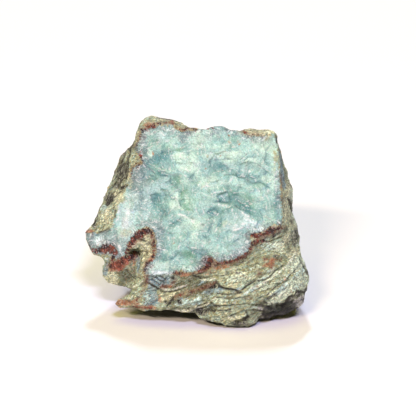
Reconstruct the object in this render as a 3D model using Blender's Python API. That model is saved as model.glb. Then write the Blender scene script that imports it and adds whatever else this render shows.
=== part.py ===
"""Rough larimar: one broken piece of rock, blue pectolite filling a cavity in altered basalt.

The broken blue face leans back. The stone is drawn face-on, on a plane that leans with it, as
(across, up, out) in millimetres: across to the right, up along the face, out towards the viewer.
A coarse cage of such points gives the main facets, a voxel remesh turns it into one skin, and
scoops, ledges, chips and roughness are then carved into that skin. The finished stone is in
metres, +Z up, with its front towards -Y and its origin on the ground under its middle.
"""

import math

import bmesh
import bpy
import numpy as np
from mathutils import Matrix, Vector, noise
from mathutils.geometry import delaunay_2d_cdt

NODE = "rough_larimar"
MM = 0.001

# Driving dimensions, in millimetres and degrees
LEAN = 25.0
SIGHT = 600.0
DRAWN_FROM = (1.2, -13.2, 36.8)
CAGE_VOXEL = 0.9
CARVED_VOXEL = 0.75
TRIANGLES = 8800
GROUND_SIZE = 200.0

# The outline of the stone as it is seen face-on, clockwise from the top left
TOP_EDGE = (
    (-20.5, 35.0, -9), (-18.0, 36.6, -10), (-15.0, 35.7, -9), (-10.0, 35.2, -10),
    (-6.5, 34.4, -9), (-4.0, 32.3, -5), (-1.2, 31.9, -3), (2.0, 31.4, -3), (5.5, 32.9, -4),
    (8.0, 32.8, -5), (10.0, 32.2, -5), (12.0, 31.0, -4), (15.0, 31.4, -6), (17.5, 31.9, -7),
    (20.0, 31.3, -7), (24.0, 31.8, -8), (26.8, 30.3, -8),
)
RIGHT_WALL = (
    (27.5, 28.7, -8), (27.0, 27.0, -7), (28.5, 23.0, -11), (29.4, 19.5, -13), (31.0, 17.4, -15),
    (31.0, 14.5, -15), (32.9, 10.0, -17), (32.2, 7.0, -15), (32.3, 2.0, -15), (33.9, -1.8, -15),
    (34.9, -6.0, -15), (34.7, -11.3, -13),
)
RIGHT_LOBE = (
    (36.6, -15.0, -10), (38.2, -19.5, -8), (37.7, -24.0, -7), (36.4, -27.3, -6), (35.0, -29.8, -7),
)
FOOT = (
    (30.0, -31.2, -9), (25.0, -31.0, -8), (22.0, -33.2, -8), (20.3, -35.2, -7), (17.5, -37.0, -5),
    (13.5, -37.4, -4), (10.0, -37.4, -4), (5.0, -36.0, -3), (0.0, -34.7, -3), (-1.8, -32.2, -3),
)
LOWER_LEDGE = (
    (-4.0, -32.0, -2), (-8.0, -31.4, -2), (-11.5, -31.0, -3), (-14.5, -31.8, -3),
    (-19.0, -32.3, -4), (-22.5, -31.2, -4),
)
FINGER = (
    (-25.0, -30.5, -5), (-28.0, -30.8, -6), (-30.0, -29.7, -6), (-29.0, -28.0, -6),
    (-25.5, -26.7, -6), (-24.0, -25.4, -6), (-23.4, -24.4, -8),
)
LEFT_LOBE = (
    (-25.0, -23.4, -12), (-28.0, -22.9, -12), (-31.0, -22.4, -12), (-33.4, -21.2, -12),
    (-34.7, -17.6, -11), (-33.2, -15.0, -11), (-33.2, -14.2, -11),
)
LEFT_TIP = (
    (-35.0, -13.0, -10), (-38.0, -11.8, -11), (-39.3, -8.8, -11), (-40.4, -4.8, -12),
    (-38.6, -2.6, -13), (-37.2, -1.3, -14),
)
LEFT_WALL = (
    (-36.4, 2.0, -15), (-34.4, 5.8, -16), (-33.1, 9.7, -17), (-31.1, 14.0, -18),
    (-29.4, 18.5, -19), (-27.8, 22.3, -19), (-26.4, 24.0, -18), (-24.6, 25.3, -17),
    (-22.6, 27.9, -12), (-22.4, 30.2, -9), (-21.3, 33.2, -9),
)
OUTLINE = (
    TOP_EDGE + RIGHT_WALL + RIGHT_LOBE + FOOT + LOWER_LEDGE + FINGER + LEFT_LOBE + LEFT_TIP
    + LEFT_WALL
)

# The edge of the blue face, clockwise from its top left corner
FACE_EDGE = (
    (-20.0, 32.0, -2.5), (-14.0, 33.3, -2), (-9.0, 32.6, -2), (-5.0, 31.0, -1.5), (0.0, 31.0, -1),
    (6.0, 31.8, -1.5), (12.0, 30.3, -1.5), (17.0, 29.8, -2), (22.0, 29.0, -2), (25.6, 29.5, -2.5),
    (26.6, 24.0, -2), (26.9, 18.0, -1.5), (27.2, 12.0, -1), (27.4, 6.0, -0.5), (27.8, -1.0, -0.5),
    (24.5, -2.5, 0.5), (19.0, -4.5, 1), (17.0, -8.5, 1), (13.5, -12.0, 1.5), (8.0, -14.2, 1.5),
    (4.0, -13.0, 1), (0.0, -16.5, 0.5), (-5.0, -18.0, 0.5), (-10.0, -17.3, 0.5),
    (-17.0, -18.3, 0.5), (-18.5, -15.0, -0.5), (-15.7, -11.0, -1), (-15.5, -6.0, -1),
    (-19.0, -2.5, -1.5), (-24.0, -4.5, -3), (-26.5, -8.0, -4.5), (-27.5, -13.5, -6),
    (-30.0, -13.0, -6.5), (-36.0, -11.0, -8), (-39.3, -7.0, -9), (-39.3, -4.9, -9),
    (-33.0, -4.3, -6.5), (-30.0, -2.0, -5), (-28.3, 1.0, -4.5), (-27.5, 5.5, -4.3),
    (-25.5, 10.5, -3.5), (-23.7, 15.0, -3), (-20.5, 19.7, -2.5), (-21.0, 23.5, -2.5),
    (-22.0, 27.0, -2.5),
)

# Heights on the blue face: low crests, hollows and the sunken shard at its foot
FACE_HEIGHTS = (
    (-17.0, 27.0, -1.5), (-12.0, 24.0, -0.8), (-14.0, 18.0, -0.6), (-15.0, 7.0, -2.0),
    (-8.0, 12.5, -1.6), (-2.5, 14.0, -1.2), (0.0, 22.0, 0.8), (5.0, 26.5, 0.2), (6.5, 19.0, -0.6),
    (14.0, 22.8, 0.8), (20.0, 17.0, -0.6), (22.0, 24.0, 0.0), (14.0, 7.0, -0.9), (8.0, 7.0, -1.0),
    (15.0, 0.5, 1.8), (9.0, 4.5, 0.8), (22.0, 4.0, -0.4), (20.0, -2.3, 1.7), (5.0, 1.0, -0.4),
    (-2.0, 4.0, 0.6), (0.0, -6.0, 1.2), (10.0, -8.0, 2.2), (-6.0, -5.0, 0.8), (-10.0, -3.0, 0.2),
    (-12.0, -12.5, -0.6), (-4.0, -8.8, 1.4), (-5.0, -13.5, -0.4), (-21.0, 10.0, -2.2),
    (-23.5, 1.0, -2.4), (-34.0, -7.5, -6.6),
)
# Heights on the matrix around it
WALL_HEIGHTS = (
    (-24.5, 20.5, -6), (-26.0, 15.0, -8), (-28.0, 9.0, -9), (-30.0, 6.0, -9), (-33.0, 2.0, -8.0),
    (-31.5, -1.8, -6.8), (-35.5, -1.5, -9), (-36.4, 1.0, -12), (-27.0, 21.0, -13),
    (-29.0, 14.0, -14), (-31.0, 10.0, -14), (29.0, -3.5, -4), (30.0, -8.0, -6.5),
    (31.0, -12.5, -5), (-16.0, 34.5, -4.5), (-10.0, 34.0, -4.5), (20.0, 30.6, -3.5),
    (25.5, 30.6, -4),
)
HOLLOW_HEIGHTS = (
    (-19.5, -7.5, -3), (-22.5, -8.8, -4.5), (-22.3, -11.2, -10), (-20.0, -13.0, -5.5),
    (-17.5, -11.0, -3.5), (-25.5, -11.0, -6), (-29.0, -16.0, -7), (-25.0, -17.0, -7.5),
    (-32.5, -18.0, -8), (-28.0, -20.5, -8.0), (-22.0, -17.0, -6.5),
)
LEDGE_HEIGHTS = (
    (-20.5, -19.0, -3), (-22.5, -23.5, -3), (-23.5, -27.0, -1.5), (-27.8, -29.3, -2.4),
    (-22.0, -29.3, -1), (-17.0, -20.3, -3.5), (-11.5, -20.5, -4), (-14.0, -23.5, -3),
    (-18.0, -26.5, -0.5), (-16.0, -29.5, 0), (-10.0, -24.8, -0.5), (-11.0, -29.0, 0),
    (-4.0, -22.5, 0), (-6.0, -29.5, 1), (0.0, -27.0, 1.5), (-1.0, -19.5, -1), (4.0, -21.5, 1),
    (4.0, -24.0, 0.5),
)
LOBE_HEIGHTS = (
    (7.0, -16.0, 0), (12.0, -15.0, 0), (17.0, -12.5, -0.8), (20.0, -9.0, -1.5), (22.0, -6.0, -1.2),
    (26.0, -5.0, -1.5), (24.0, -8.2, -2), (27.5, -10.0, -3), (12.0, -19.0, 3), (18.0, -19.0, 2.5),
    (24.0, -14.5, -0.5), (26.0, -18.0, 1.5), (31.0, -17.0, 0), (34.5, -17.0, -3.5),
    (35.0, -22.0, -2.5), (31.0, -22.0, 2), (25.0, -23.0, 3.5), (18.0, -24.5, 4), (10.0, -23.0, 3.5),
    (7.0, -27.0, 3), (14.0, -28.0, 4), (22.0, -28.0, 3), (28.0, -26.5, 2), (33.0, -25.5, -1),
    (30.0, -29.0, -4), (24.0, -29.7, -2), (20.0, -30.5, 0), (3.0, -31.0, -1.5), (7.0, -32.0, 1.5),
    (12.0, -32.5, 1.5), (17.0, -32.0, 1), (14.0, -35.0, -0.5), (8.0, -34.7, -0.5),
    (2.0, -33.3, -2),
)
# Heights of the back, which is one rough break of basalt in a few large facets
BACK_HEIGHTS = (
    (-15.0, 30.0, -19), (-6.0, 28.0, -21), (4.0, 28.5, -21), (16.0, 27.5, -22), (24.0, 24.0, -21),
    (-24.0, 14.0, -31), (-12.0, 16.0, -35), (3.0, 15.0, -39), (17.0, 14.0, -36), (27.0, 10.0, -29),
    (-31.0, 2.0, -26), (-20.0, 1.0, -41), (-4.0, 1.0, -46), (13.0, 0.0, -46), (27.0, -3.0, -38),
    (-34.0, -7.0, -21), (-25.0, -13.0, -29), (-14.0, -13.0, -46), (4.0, -12.0, -52),
    (20.0, -13.0, -48), (31.0, -14.0, -32), (-30.0, -18.0, -18), (-18.5, -23.5, -37),
    (-4.0, -20.0, -43), (12.0, -21.0, -42), (25.0, -23.0, -30), (33.5, -24.0, -16),
    (-20.0, -25.5, -19), (-8.0, -28.5, -24), (6.0, -31.0, -20), (16.0, -33.0, -16),
    (-26.5, -28.9, -9.5), (-21.0, -28.0, -11), (-29.0, -19.5, -16),
)

# Large flakes struck off the blue face: across, up, half length, half width, turn, depth
FLAKES = (
    (4.8, 18.2, 6.0, 3.6, 12, 1.6),
    (14.5, 17.4, 6.5, 3.0, 8, 1.0),
    (20.5, 14.0, 5.5, 2.6, 10, 0.9),
    (-5.2, 8.0, 4.8, 4.2, 70, 1.5),
    (-14.6, 7.6, 5.4, 4.4, 80, 1.3),
    (9.5, 7.2, 5.4, 2.4, -14, 1.3),
    (5.0, 3.0, 3.2, 2.2, 20, 0.9),
    (15.5, 7.0, 4.6, 2.0, -35, 0.9),
    (-8.0, 13.6, 4.4, 2.8, 35, 1.1),
    (-13.5, 20.5, 6.0, 3.4, 28, 0.9),
    (-5.0, -13.6, 5.6, 3.0, 4, 1.1),
    (-11.0, -7.5, 4.5, 3.5, -50, 0.9),
    (22.8, 3.0, 3.6, 3.4, 60, 0.8),
    (4.5, 27.5, 5.2, 2.6, -8, 0.7),
    (-6.5, 0.5, 5.0, 2.6, -20, 0.8),
    (20.5, 25.5, 4.8, 2.8, -15, 0.7),
    (5.5, -9.5, 6.2, 2.6, -25, 0.8),
    (13.0, -5.5, 4.4, 2.8, -15, 0.8),
    (-17.5, 14.0, 3.8, 2.6, 70, 0.8),
    (-16.5, 28.5, 3.4, 2.6, 20, 0.7),
)
# Steps across it, from start to end: start, end, width, height
FACE_STEPS = (
    ((-20.0, 19.8), (-7.0, 15.6), 5.0, 0.9),
    ((16.8, 4.4), (10.5, 8.8), 3.5, 0.9),
    ((24.5, 15.2), (9.5, 16.6), 4.5, 0.8),
    ((3.4, -12.6), (-5.0, -9.4), 3.0, 0.9),
    ((14.5, 22.4), (3.0, 21.2), 3.0, 0.7),
    ((25.0, 1.0), (15.0, 3.8), 2.6, 0.7),
    ((-6.5, 20.5), (-16.0, 25.0), 3.4, 0.6),
)
# Laminae of the matrix, which dip to the left: start, end, width, height
LAMINAE = (
    ((-10.0, -25.6), (5.5, -20.6), 2.6, 1.0),
    ((-8.0, -27.4), (6.5, -21.9), 1.6, 1.3),
    ((-11.0, -30.6), (6.5, -25.8), 1.8, 1.4),
    ((4.0, -22.4), (14.0, -24.4), 2.4, 1.6),
    ((13.5, -24.2), (21.0, -18.6), 3.0, 1.5),
    ((20.8, -18.8), (29.0, -16.6), 2.4, 1.1),
    ((4.5, -29.6), (20.5, -28.6), 3.0, 1.5),
    ((20.3, -28.6), (27.5, -23.6), 3.2, 1.5),
    ((27.3, -23.8), (35.0, -14.5), 2.8, 1.3),
    ((18.5, -30.4), (29.0, -27.4), 2.2, 1.4),
    ((3.5, -32.4), (11.0, -31.2), 2.2, 1.2),
    ((12.0, -34.9), (21.8, -30.8), 2.4, 1.6),
    ((25.5, -27.0), (34.0, -19.2), 2.2, 0.9),
    ((14.0, -21.2), (27.0, -12.6), 2.0, 0.7),
    ((8.0, -18.8), (20.0, -14.6), 2.0, 0.7),
    ((17.5, -12.4), (28.8, -8.4), 2.2, 0.7),
    ((-17.5, -29.0), (-10.0, -24.2), 1.8, 0.9),
    ((-19.5, -22.2), (-14.0, -25.2), 1.8, 0.8),
    ((-33.0, -19.4), (-24.0, -18.0), 2.0, 0.7),
    ((-35.6, 4.6), (-29.6, 6.2), 2.2, 1.0),
    ((-36.2, -2.2), (-29.6, -2.6), 2.0, 0.9),
)
# Chips off the wall, the lobe and the back: across, up, out, radius of the hollow, depth
CHIPS = (
    (-30.0, 11.5, -16.0, 5.0, 1.6),
    (-34.0, 6.5, -13.0, 3.6, 1.4),
    (-26.0, 21.0, -12.0, 4.4, 1.2),
    (-22.5, 29.0, -8.0, 3.0, 0.9),
    (-22.4, -11.8, -8.0, 3.4, 2.4),
    (1.0, -31.0, -0.5, 4.4, 1.8),
    (14.0, -36.0, -1.5, 3.4, 1.5),
    (30.5, 19.0, -10.0, 4.6, 1.2),
    (33.0, 4.0, -9.0, 4.8, 1.2),
    (33.5, -8.0, -8.0, 4.4, 1.3),
    (37.0, -21.0, -8.0, 5.0, 1.0),
    (27.0, -30.5, -5.0, 4.6, 1.6),
    (-37.0, -2.0, -10.0, 2.8, 1.0),
    (-12.0, 22.0, -30.0, 12.0, 3.0),
    (15.0, 20.0, -32.0, 13.0, 3.2),
    (2.0, 2.0, -48.0, 13.0, 3.0),
    (24.0, 0.0, -40.0, 11.0, 2.6),
    (-24.0, 4.0, -36.0, 12.0, 3.0),
    (-8.0, -12.0, -49.0, 10.0, 2.4),
    (31.0, -16.0, -26.0, 10.0, 2.4),
    (-26.0, -14.0, -24.0, 9.0, 2.2),
    (8.0, 30.0, -15.0, 8.0, 1.8),
    (-18.0, 32.0, -16.0, 6.0, 1.4),
)

# Flat breaks of the back: which way each faces (across, up, out) and how far off the heart it is
HEART = (0.0, -2.0, -22.0)
BREAKS = (
    ((0.05, 0.10, -1.00), 25.5),
    ((-0.62, 0.30, -0.72), 25.0),
    ((0.58, 0.42, -0.70), 26.0),
    ((-0.12, 0.74, -0.66), 25.5),
    ((-0.52, -0.38, -0.76), 30.0),
    ((0.70, -0.22, -0.68), 30.5),
    ((0.20, -0.42, -0.88), 29.0),
    ((-0.90, 0.10, -0.42), 29.5),
    ((0.93, 0.25, -0.28), 30.5),
    ((0.30, 0.90, -0.30), 30.0),
    ((-0.45, 0.86, -0.25), 34.5),
    ((-0.86, -0.40, -0.32), 31.0),
)
BREAK_FROM = (-11.0, -17.0)

# Roughness: wave length and height of the broad and the fine waves, in millimetres
MATRIX_WAVES = ((9.0, 1.1), (3.4, 0.75))
BACK_WAVES = ((12.0, 1.1), (4.0, 0.8))
FACE_WAVES = ((8.0, 0.45), (3.0, 0.35))
LAMINA_STRETCH = 2.4
LAMINA_DIP = 28.0
# How sharp the waves are, from 0 for round to 1 for ridged, and how narrow the ridges are
MATRIX_CREASE = 0.6
BACK_CREASE = 0.5
FACE_CREASE = 0.4
RIDGE_PINCH = 2.4

# How round a flake's hollow is: 1 is a plain bowl, and less gives it a flatter floor
FLAKE_ROUNDNESS = 0.7
# A step's ramp in millimetres, its fall and lip as shares of its height, and its run-out at the ends
STEP_RAMP = 0.9
STEP_FALL = 0.75
STEP_LIP = 0.3
STEP_RUN_OUT = 0.2
STEP_OVERRUN = 0.6

# Where each kind of surface fades out, in millimetres, and how much roughness the rim keeps
EDGE_FADE = 1.5
RIM_FADE = 4.0
RIM_SHARE = 0.25
FACING_GAIN = 2.0
FRONT_ENDS = -20.0
BACK_BEGINS = -8.0
BACK_FADE = 6.0

# The plain material
STONE_COLOUR = (0.36, 0.52, 0.48, 1.0)
STONE_ROUGHNESS = 0.62


def cleared_scene():
    """Removes whatever the scene holds."""
    for old in list(bpy.data.objects):
        bpy.data.objects.remove(old)


def spread(across, up, out):
    """A drawn point in metres: one further back is spread out, so it is seen where it was drawn."""
    share = (SIGHT - out) / SIGHT
    return Vector((across * share * MM, up * share * MM, out * MM))


def add_sheet(cage, rim, heights, outward):
    """One side of the cage: triangles between the rim's vertices and a vertex for each height."""
    inner = [cage.verts.new(spread(*h)) for h in heights]
    corners = rim + inner
    flat = [Vector(p[:2]) for p in OUTLINE + tuple(heights)]
    loop = [(i, (i + 1) % len(rim)) for i in range(len(rim))]
    _, _, faces, origins, _, _ = delaunay_2d_cdt(flat, loop, [], 1, 1e-6)
    for face in faces:
        chosen = [corners[origins[i][0]] for i in face]
        cage.faces.new(chosen if outward else reversed(chosen))


def build_cage():
    """The closed coarse cage, as an object on the drawing plane."""
    cage = bmesh.new()
    rim = [cage.verts.new(spread(*p)) for p in OUTLINE]
    front = FACE_EDGE + FACE_HEIGHTS + WALL_HEIGHTS + HOLLOW_HEIGHTS + LEDGE_HEIGHTS + LOBE_HEIGHTS
    add_sheet(cage, rim, front, outward=True)
    add_sheet(cage, rim, BACK_HEIGHTS, outward=False)
    bmesh.ops.recalc_face_normals(cage, faces=cage.faces)
    mesh = bpy.data.meshes.new(NODE)
    cage.to_mesh(mesh)
    cage.free()
    stone = bpy.data.objects.new(NODE, mesh)
    bpy.context.scene.collection.objects.link(stone)
    return stone


def bake_modifiers(stone):
    """Replaces the object's mesh by the one that its modifiers make, and removes them."""
    bpy.context.view_layer.update()
    graph = bpy.context.evaluated_depsgraph_get()
    made = bpy.data.meshes.new_from_object(stone.evaluated_get(graph))
    stone.modifiers.clear()
    stone.data = made


def remesh(stone, voxel):
    """One even, closed skin in place of the object's faces."""
    skin = stone.modifiers.new("skin", "REMESH")
    skin.mode = "VOXEL"
    skin.voxel_size = voxel * MM
    bake_modifiers(stone)


def read_skin(mesh):
    """The skin's points in millimetres and its normals, each as an array of rows."""
    count = len(mesh.vertices)
    points = np.empty(count * 3)
    normals = np.empty(count * 3)
    mesh.vertices.foreach_get("co", points)
    mesh.vertices.foreach_get("normal", normals)
    return points.reshape(-1, 3) / MM, normals.reshape(-1, 3)


def write_skin(mesh, points):
    """Moves the skin's vertices to these points."""
    mesh.vertices.foreach_set("co", (points * MM).ravel())
    mesh.update()


def drawn(points):
    """Where the points are seen on the drawing plane, across and up."""
    return points[:, :2] * (SIGHT / (SIGHT - points[:, 2]))[:, None]


def inside_distance(flat, loop):
    """How far each drawn point is inside a closed outline, negative where it is outside."""
    nearest = np.full(len(flat), np.inf)
    inside = np.zeros(len(flat), bool)
    for start, end in zip(loop, loop[1:] + loop[:1]):
        start = np.array(start[:2])
        along = np.array(end[:2]) - start
        place = np.clip((flat - start) @ along / (along @ along), 0, 1)
        gap = np.linalg.norm(flat - start - place[:, None] * along, axis=1)
        nearest = np.minimum(nearest, gap)
        low = flat[:, 1] < start[1]
        crosses = low != (flat[:, 1] < start[1] + along[1])
        rise = along[1] if along[1] else 1.0
        where = start[0] + (flat[:, 1] - start[1]) * along[0] / rise
        inside ^= crosses & (flat[:, 0] < where)
    return np.where(inside, nearest, -nearest)


def flake_depth(flat, flake):
    """Depth of one shell-shaped hollow, whose far edge is sharp and near edge fades out."""
    across, up, length, width, turn, depth = flake
    angle = math.radians(turn)
    offset = flat - (across, up)
    along = offset @ (math.cos(angle), math.sin(angle)) / length
    over = offset @ (-math.sin(angle), math.cos(angle)) / width
    bowl = 1 - along**2 - over**2
    return depth * np.clip(bowl, 0, None) ** FLAKE_ROUNDNESS


def step_depth(flat, step):
    """Depth of one step: a sharp drop to the right of the line, which climbs back over its width."""
    start, end, width, height = step
    start = np.array(start)
    along = np.array(end) - start
    length = np.linalg.norm(along)
    along /= length
    place = (flat - start) @ along
    right = (flat - start) @ (along[1], -along[0])
    fade = np.clip(np.minimum(place, length - place) / (STEP_RUN_OUT * length) + STEP_OVERRUN, 0, 1)
    drop = np.clip(right / STEP_RAMP, 0, 1)
    fall = np.clip(1 - right / width, 0, 1) * drop
    lip = np.clip(1 + right / (0.5 * width), 0, 1) * (1 - drop)
    return height * fade * (STEP_FALL * fall - STEP_LIP * lip)


def wave_height(places, waves, crease):
    """Two octaves of rough waves at these places; crease turns their valleys into sharp ridges."""
    total = np.zeros(len(places))
    for number, (length, height) in enumerate(waves):
        shift = Vector((17.0 * number, 31.0, 5.0))
        raw = np.array([noise.noise(Vector(p) / length + shift) for p in places])
        ridged = 1 - RIDGE_PINCH * np.abs(raw)
        total += height * (crease * ridged + (1 - crease) * 2 * raw)
    return total


def inwards(points):
    """0 for points seen on the stone's outline, rising to 1 a little way inside it."""
    return np.clip(inside_distance(drawn(points), OUTLINE) / RIM_FADE, 0, 1)


def break_off(points):
    """Brings what stands beyond each flat break back onto it, but only well behind the face."""
    near, far = BREAK_FROM
    held = inwards(points)
    for way, reach in BREAKS:
        way = np.array(way) / np.linalg.norm(way)
        share = held * np.clip((near - points[:, 2]) / (near - far), 0, 1)
        excess = np.clip((points - HEART) @ way - reach, 0, None)
        points -= (share * excess)[:, None] * way


def carve(stone):
    """Cuts the breaks, flakes, steps, laminae, chips and roughness into the skin."""
    points, _ = read_skin(stone.data)
    break_off(points)
    write_skin(stone.data, points)
    points, normals = read_skin(stone.data)
    flat = drawn(points)
    held = inwards(points)
    facing = np.clip(normals[:, 2] * FACING_GAIN, 0, 1)
    facing[points[:, 2] < FRONT_ENDS] = 0
    blue = np.clip(inside_distance(flat, FACE_EDGE) / EDGE_FADE, 0, 1) * facing
    rock = np.clip(-inside_distance(flat, FACE_EDGE) / EDGE_FADE, 0, 1) * facing

    face_cut = sum(flake_depth(flat, flake) for flake in FLAKES)
    face_cut += sum(step_depth(flat, step) for step in FACE_STEPS)
    rock_cut = sum(step_depth(flat, lamina) for lamina in LAMINAE)
    points[:, 2] -= blue * face_cut + rock * rock_cut

    for across, up, out, radius, depth in CHIPS:
        centre = np.array(spread(across, up, out)) / MM
        reach = np.linalg.norm(points - centre, axis=1) / radius
        points -= normals * (held * depth * np.clip(1 - reach**2, 0, None))[:, None]

    dip = math.radians(LAMINA_DIP)
    run = points @ (math.cos(dip), math.sin(dip), 0)
    rise = points @ (-math.sin(dip), math.cos(dip), 0)
    bedded = np.column_stack((run / LAMINA_STRETCH, rise, points[:, 2]))
    behind = np.clip((BACK_BEGINS - points[:, 2]) / BACK_FADE, 0, 1)
    rough = (1 - blue) * (1 - behind) * wave_height(bedded, MATRIX_WAVES, MATRIX_CREASE)
    rough += (1 - blue) * behind * wave_height(points, BACK_WAVES, BACK_CREASE)
    rough += blue * wave_height(points, FACE_WAVES, FACE_CREASE)
    rough *= RIM_SHARE + (1 - RIM_SHARE) * held
    points += normals * rough[:, None]
    write_skin(stone.data, points)


def thin_out(stone):
    """Fewer triangles, with most of them where the skin bends most."""
    thin = stone.modifiers.new("thin", "DECIMATE")
    thin.ratio = TRIANGLES / (2 * len(stone.data.polygons))
    bake_modifiers(stone)


def stand_up(stone):
    """Leans the stone, stands it over the origin and cuts its base flat at the ground."""
    lean = Matrix.Rotation(math.radians(90 - LEAN), 4, "X")
    stone.data.transform(Matrix.Translation(Vector(DRAWN_FROM) * MM) @ lean)
    block = bmesh.new()
    bmesh.ops.create_cube(block, size=GROUND_SIZE * MM)
    bmesh.ops.translate(block, verts=block.verts, vec=(0, 0, -GROUND_SIZE * MM / 2))
    mesh = bpy.data.meshes.new("ground")
    block.to_mesh(mesh)
    block.free()
    ground = bpy.data.objects.new("ground", mesh)
    bpy.context.scene.collection.objects.link(ground)
    ground.hide_render = True
    ground.display_type = "WIRE"
    cut = stone.modifiers.new("flat_base", "BOOLEAN")
    cut.operation = "DIFFERENCE"
    cut.solver = "EXACT"
    cut.object = ground


def dress(stone):
    """Gives the stone its material."""
    material = bpy.data.materials.new("larimar_in_basalt")
    material.use_nodes = True
    shader = material.node_tree.nodes["Principled BSDF"]
    shader.inputs["Base Color"].default_value = STONE_COLOUR
    shader.inputs["Roughness"].default_value = STONE_ROUGHNESS
    shader.inputs["Metallic"].default_value = 0.0
    stone.data.materials.clear()
    stone.data.materials.append(material)


def main():
    """Builds the stone."""
    cleared_scene()
    stone = build_cage()
    remesh(stone, CAGE_VOXEL)
    carve(stone)
    remesh(stone, CARVED_VOXEL)
    thin_out(stone)
    stand_up(stone)
    dress(stone)


if __name__ == "__main__":
    main()
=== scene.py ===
"""Rough larimar, dressed: a broken block of altered basalt with a leaning face of blue-green larimar.

The stone is drawn face-on, on a plane that leans back with the blue face, as (across, up, out) in
millimetres: across to the right, up along the face, out towards the viewer. Every outline, stroke
and line below is placed on that plane. The finished piece is one mesh in metres.
"""

import logging
import math
from dataclasses import dataclass, field
from enum import Enum, IntEnum

import bmesh
import bpy
import numpy as np
from mathutils import Matrix, Vector


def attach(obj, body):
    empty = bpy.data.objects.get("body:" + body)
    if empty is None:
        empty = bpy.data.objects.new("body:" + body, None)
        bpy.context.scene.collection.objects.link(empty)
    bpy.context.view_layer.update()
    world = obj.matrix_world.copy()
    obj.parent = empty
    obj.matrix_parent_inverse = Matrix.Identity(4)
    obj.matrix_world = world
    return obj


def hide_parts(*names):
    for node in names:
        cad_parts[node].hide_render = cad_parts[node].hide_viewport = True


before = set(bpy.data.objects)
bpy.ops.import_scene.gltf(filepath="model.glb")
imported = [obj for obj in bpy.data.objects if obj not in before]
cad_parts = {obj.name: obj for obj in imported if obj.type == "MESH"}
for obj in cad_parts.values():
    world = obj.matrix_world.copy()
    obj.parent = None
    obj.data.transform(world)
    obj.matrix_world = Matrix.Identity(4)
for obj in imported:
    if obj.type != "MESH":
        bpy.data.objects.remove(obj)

MM = 0.001
NODE = "rough_larimar"
log = logging.getLogger(NODE)

# Depths in millimetres that stand for places far off the infill and the bands, and off every line.
FAR_OFF = -5.0
OFF_LINE = -2.0

Span = tuple[float, float]
Tint = tuple[float, float, float]
Strokes = tuple[tuple[float, ...], ...]
Socket = bpy.types.NodeSocket
Value = Socket | float | tuple[float, ...]


@dataclass(frozen=True)
class DrawingPlane:
    """The plane that leans back with the blue face, on which the stone is drawn."""

    lean: float = 25.0
    sight: float = 600.0
    drawn_from: tuple[float, float, float] = (1.2, -13.2, 36.8)

    def axes(self) -> np.ndarray:
        """The plane's directions in the world.

        Returns:
            Across, up and out, as the rows of a matrix.
        """
        lean = math.radians(self.lean)
        up = (0.0, math.sin(lean), math.cos(lean))
        out = (0.0, -math.cos(lean), math.sin(lean))
        return np.array(((1.0, 0.0, 0.0), up, out))

    def from_world(self, points: np.ndarray) -> np.ndarray:
        """Points in metres as (across, up, out) in millimetres."""
        return (points / MM - self.drawn_from) @ self.axes().T

    def to_world(self, drawn: np.ndarray) -> np.ndarray:
        """(across, up, out) in millimetres as points in metres."""
        return (drawn @ self.axes() + self.drawn_from) * MM

    def seen(self, drawn: np.ndarray) -> np.ndarray:
        """Where points are seen, as (across, up) on the plane, by an eye at the sight distance."""
        return drawn[:, :2] * (self.sight / (self.sight - drawn[:, 2]))[:, None]


PLANE = DrawingPlane()


class Seed(IntEnum):
    """The seed of each random field."""

    FACE_BEND_ACROSS = 11
    FACE_BEND_UP = 12
    FACE_BREAKS = 13
    FACE_WAVES = 15
    RIND_KNOBS = 21
    FOLDS = 31
    LUMPS = 32
    BACK_BREAKS = 33
    BACK_PITS = 34
    WALL_FOLDS = 35
    SOLE_EDGE = 36
    PAINT_BEND_ACROSS = 41
    PAINT_BEND_UP = 42


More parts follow.
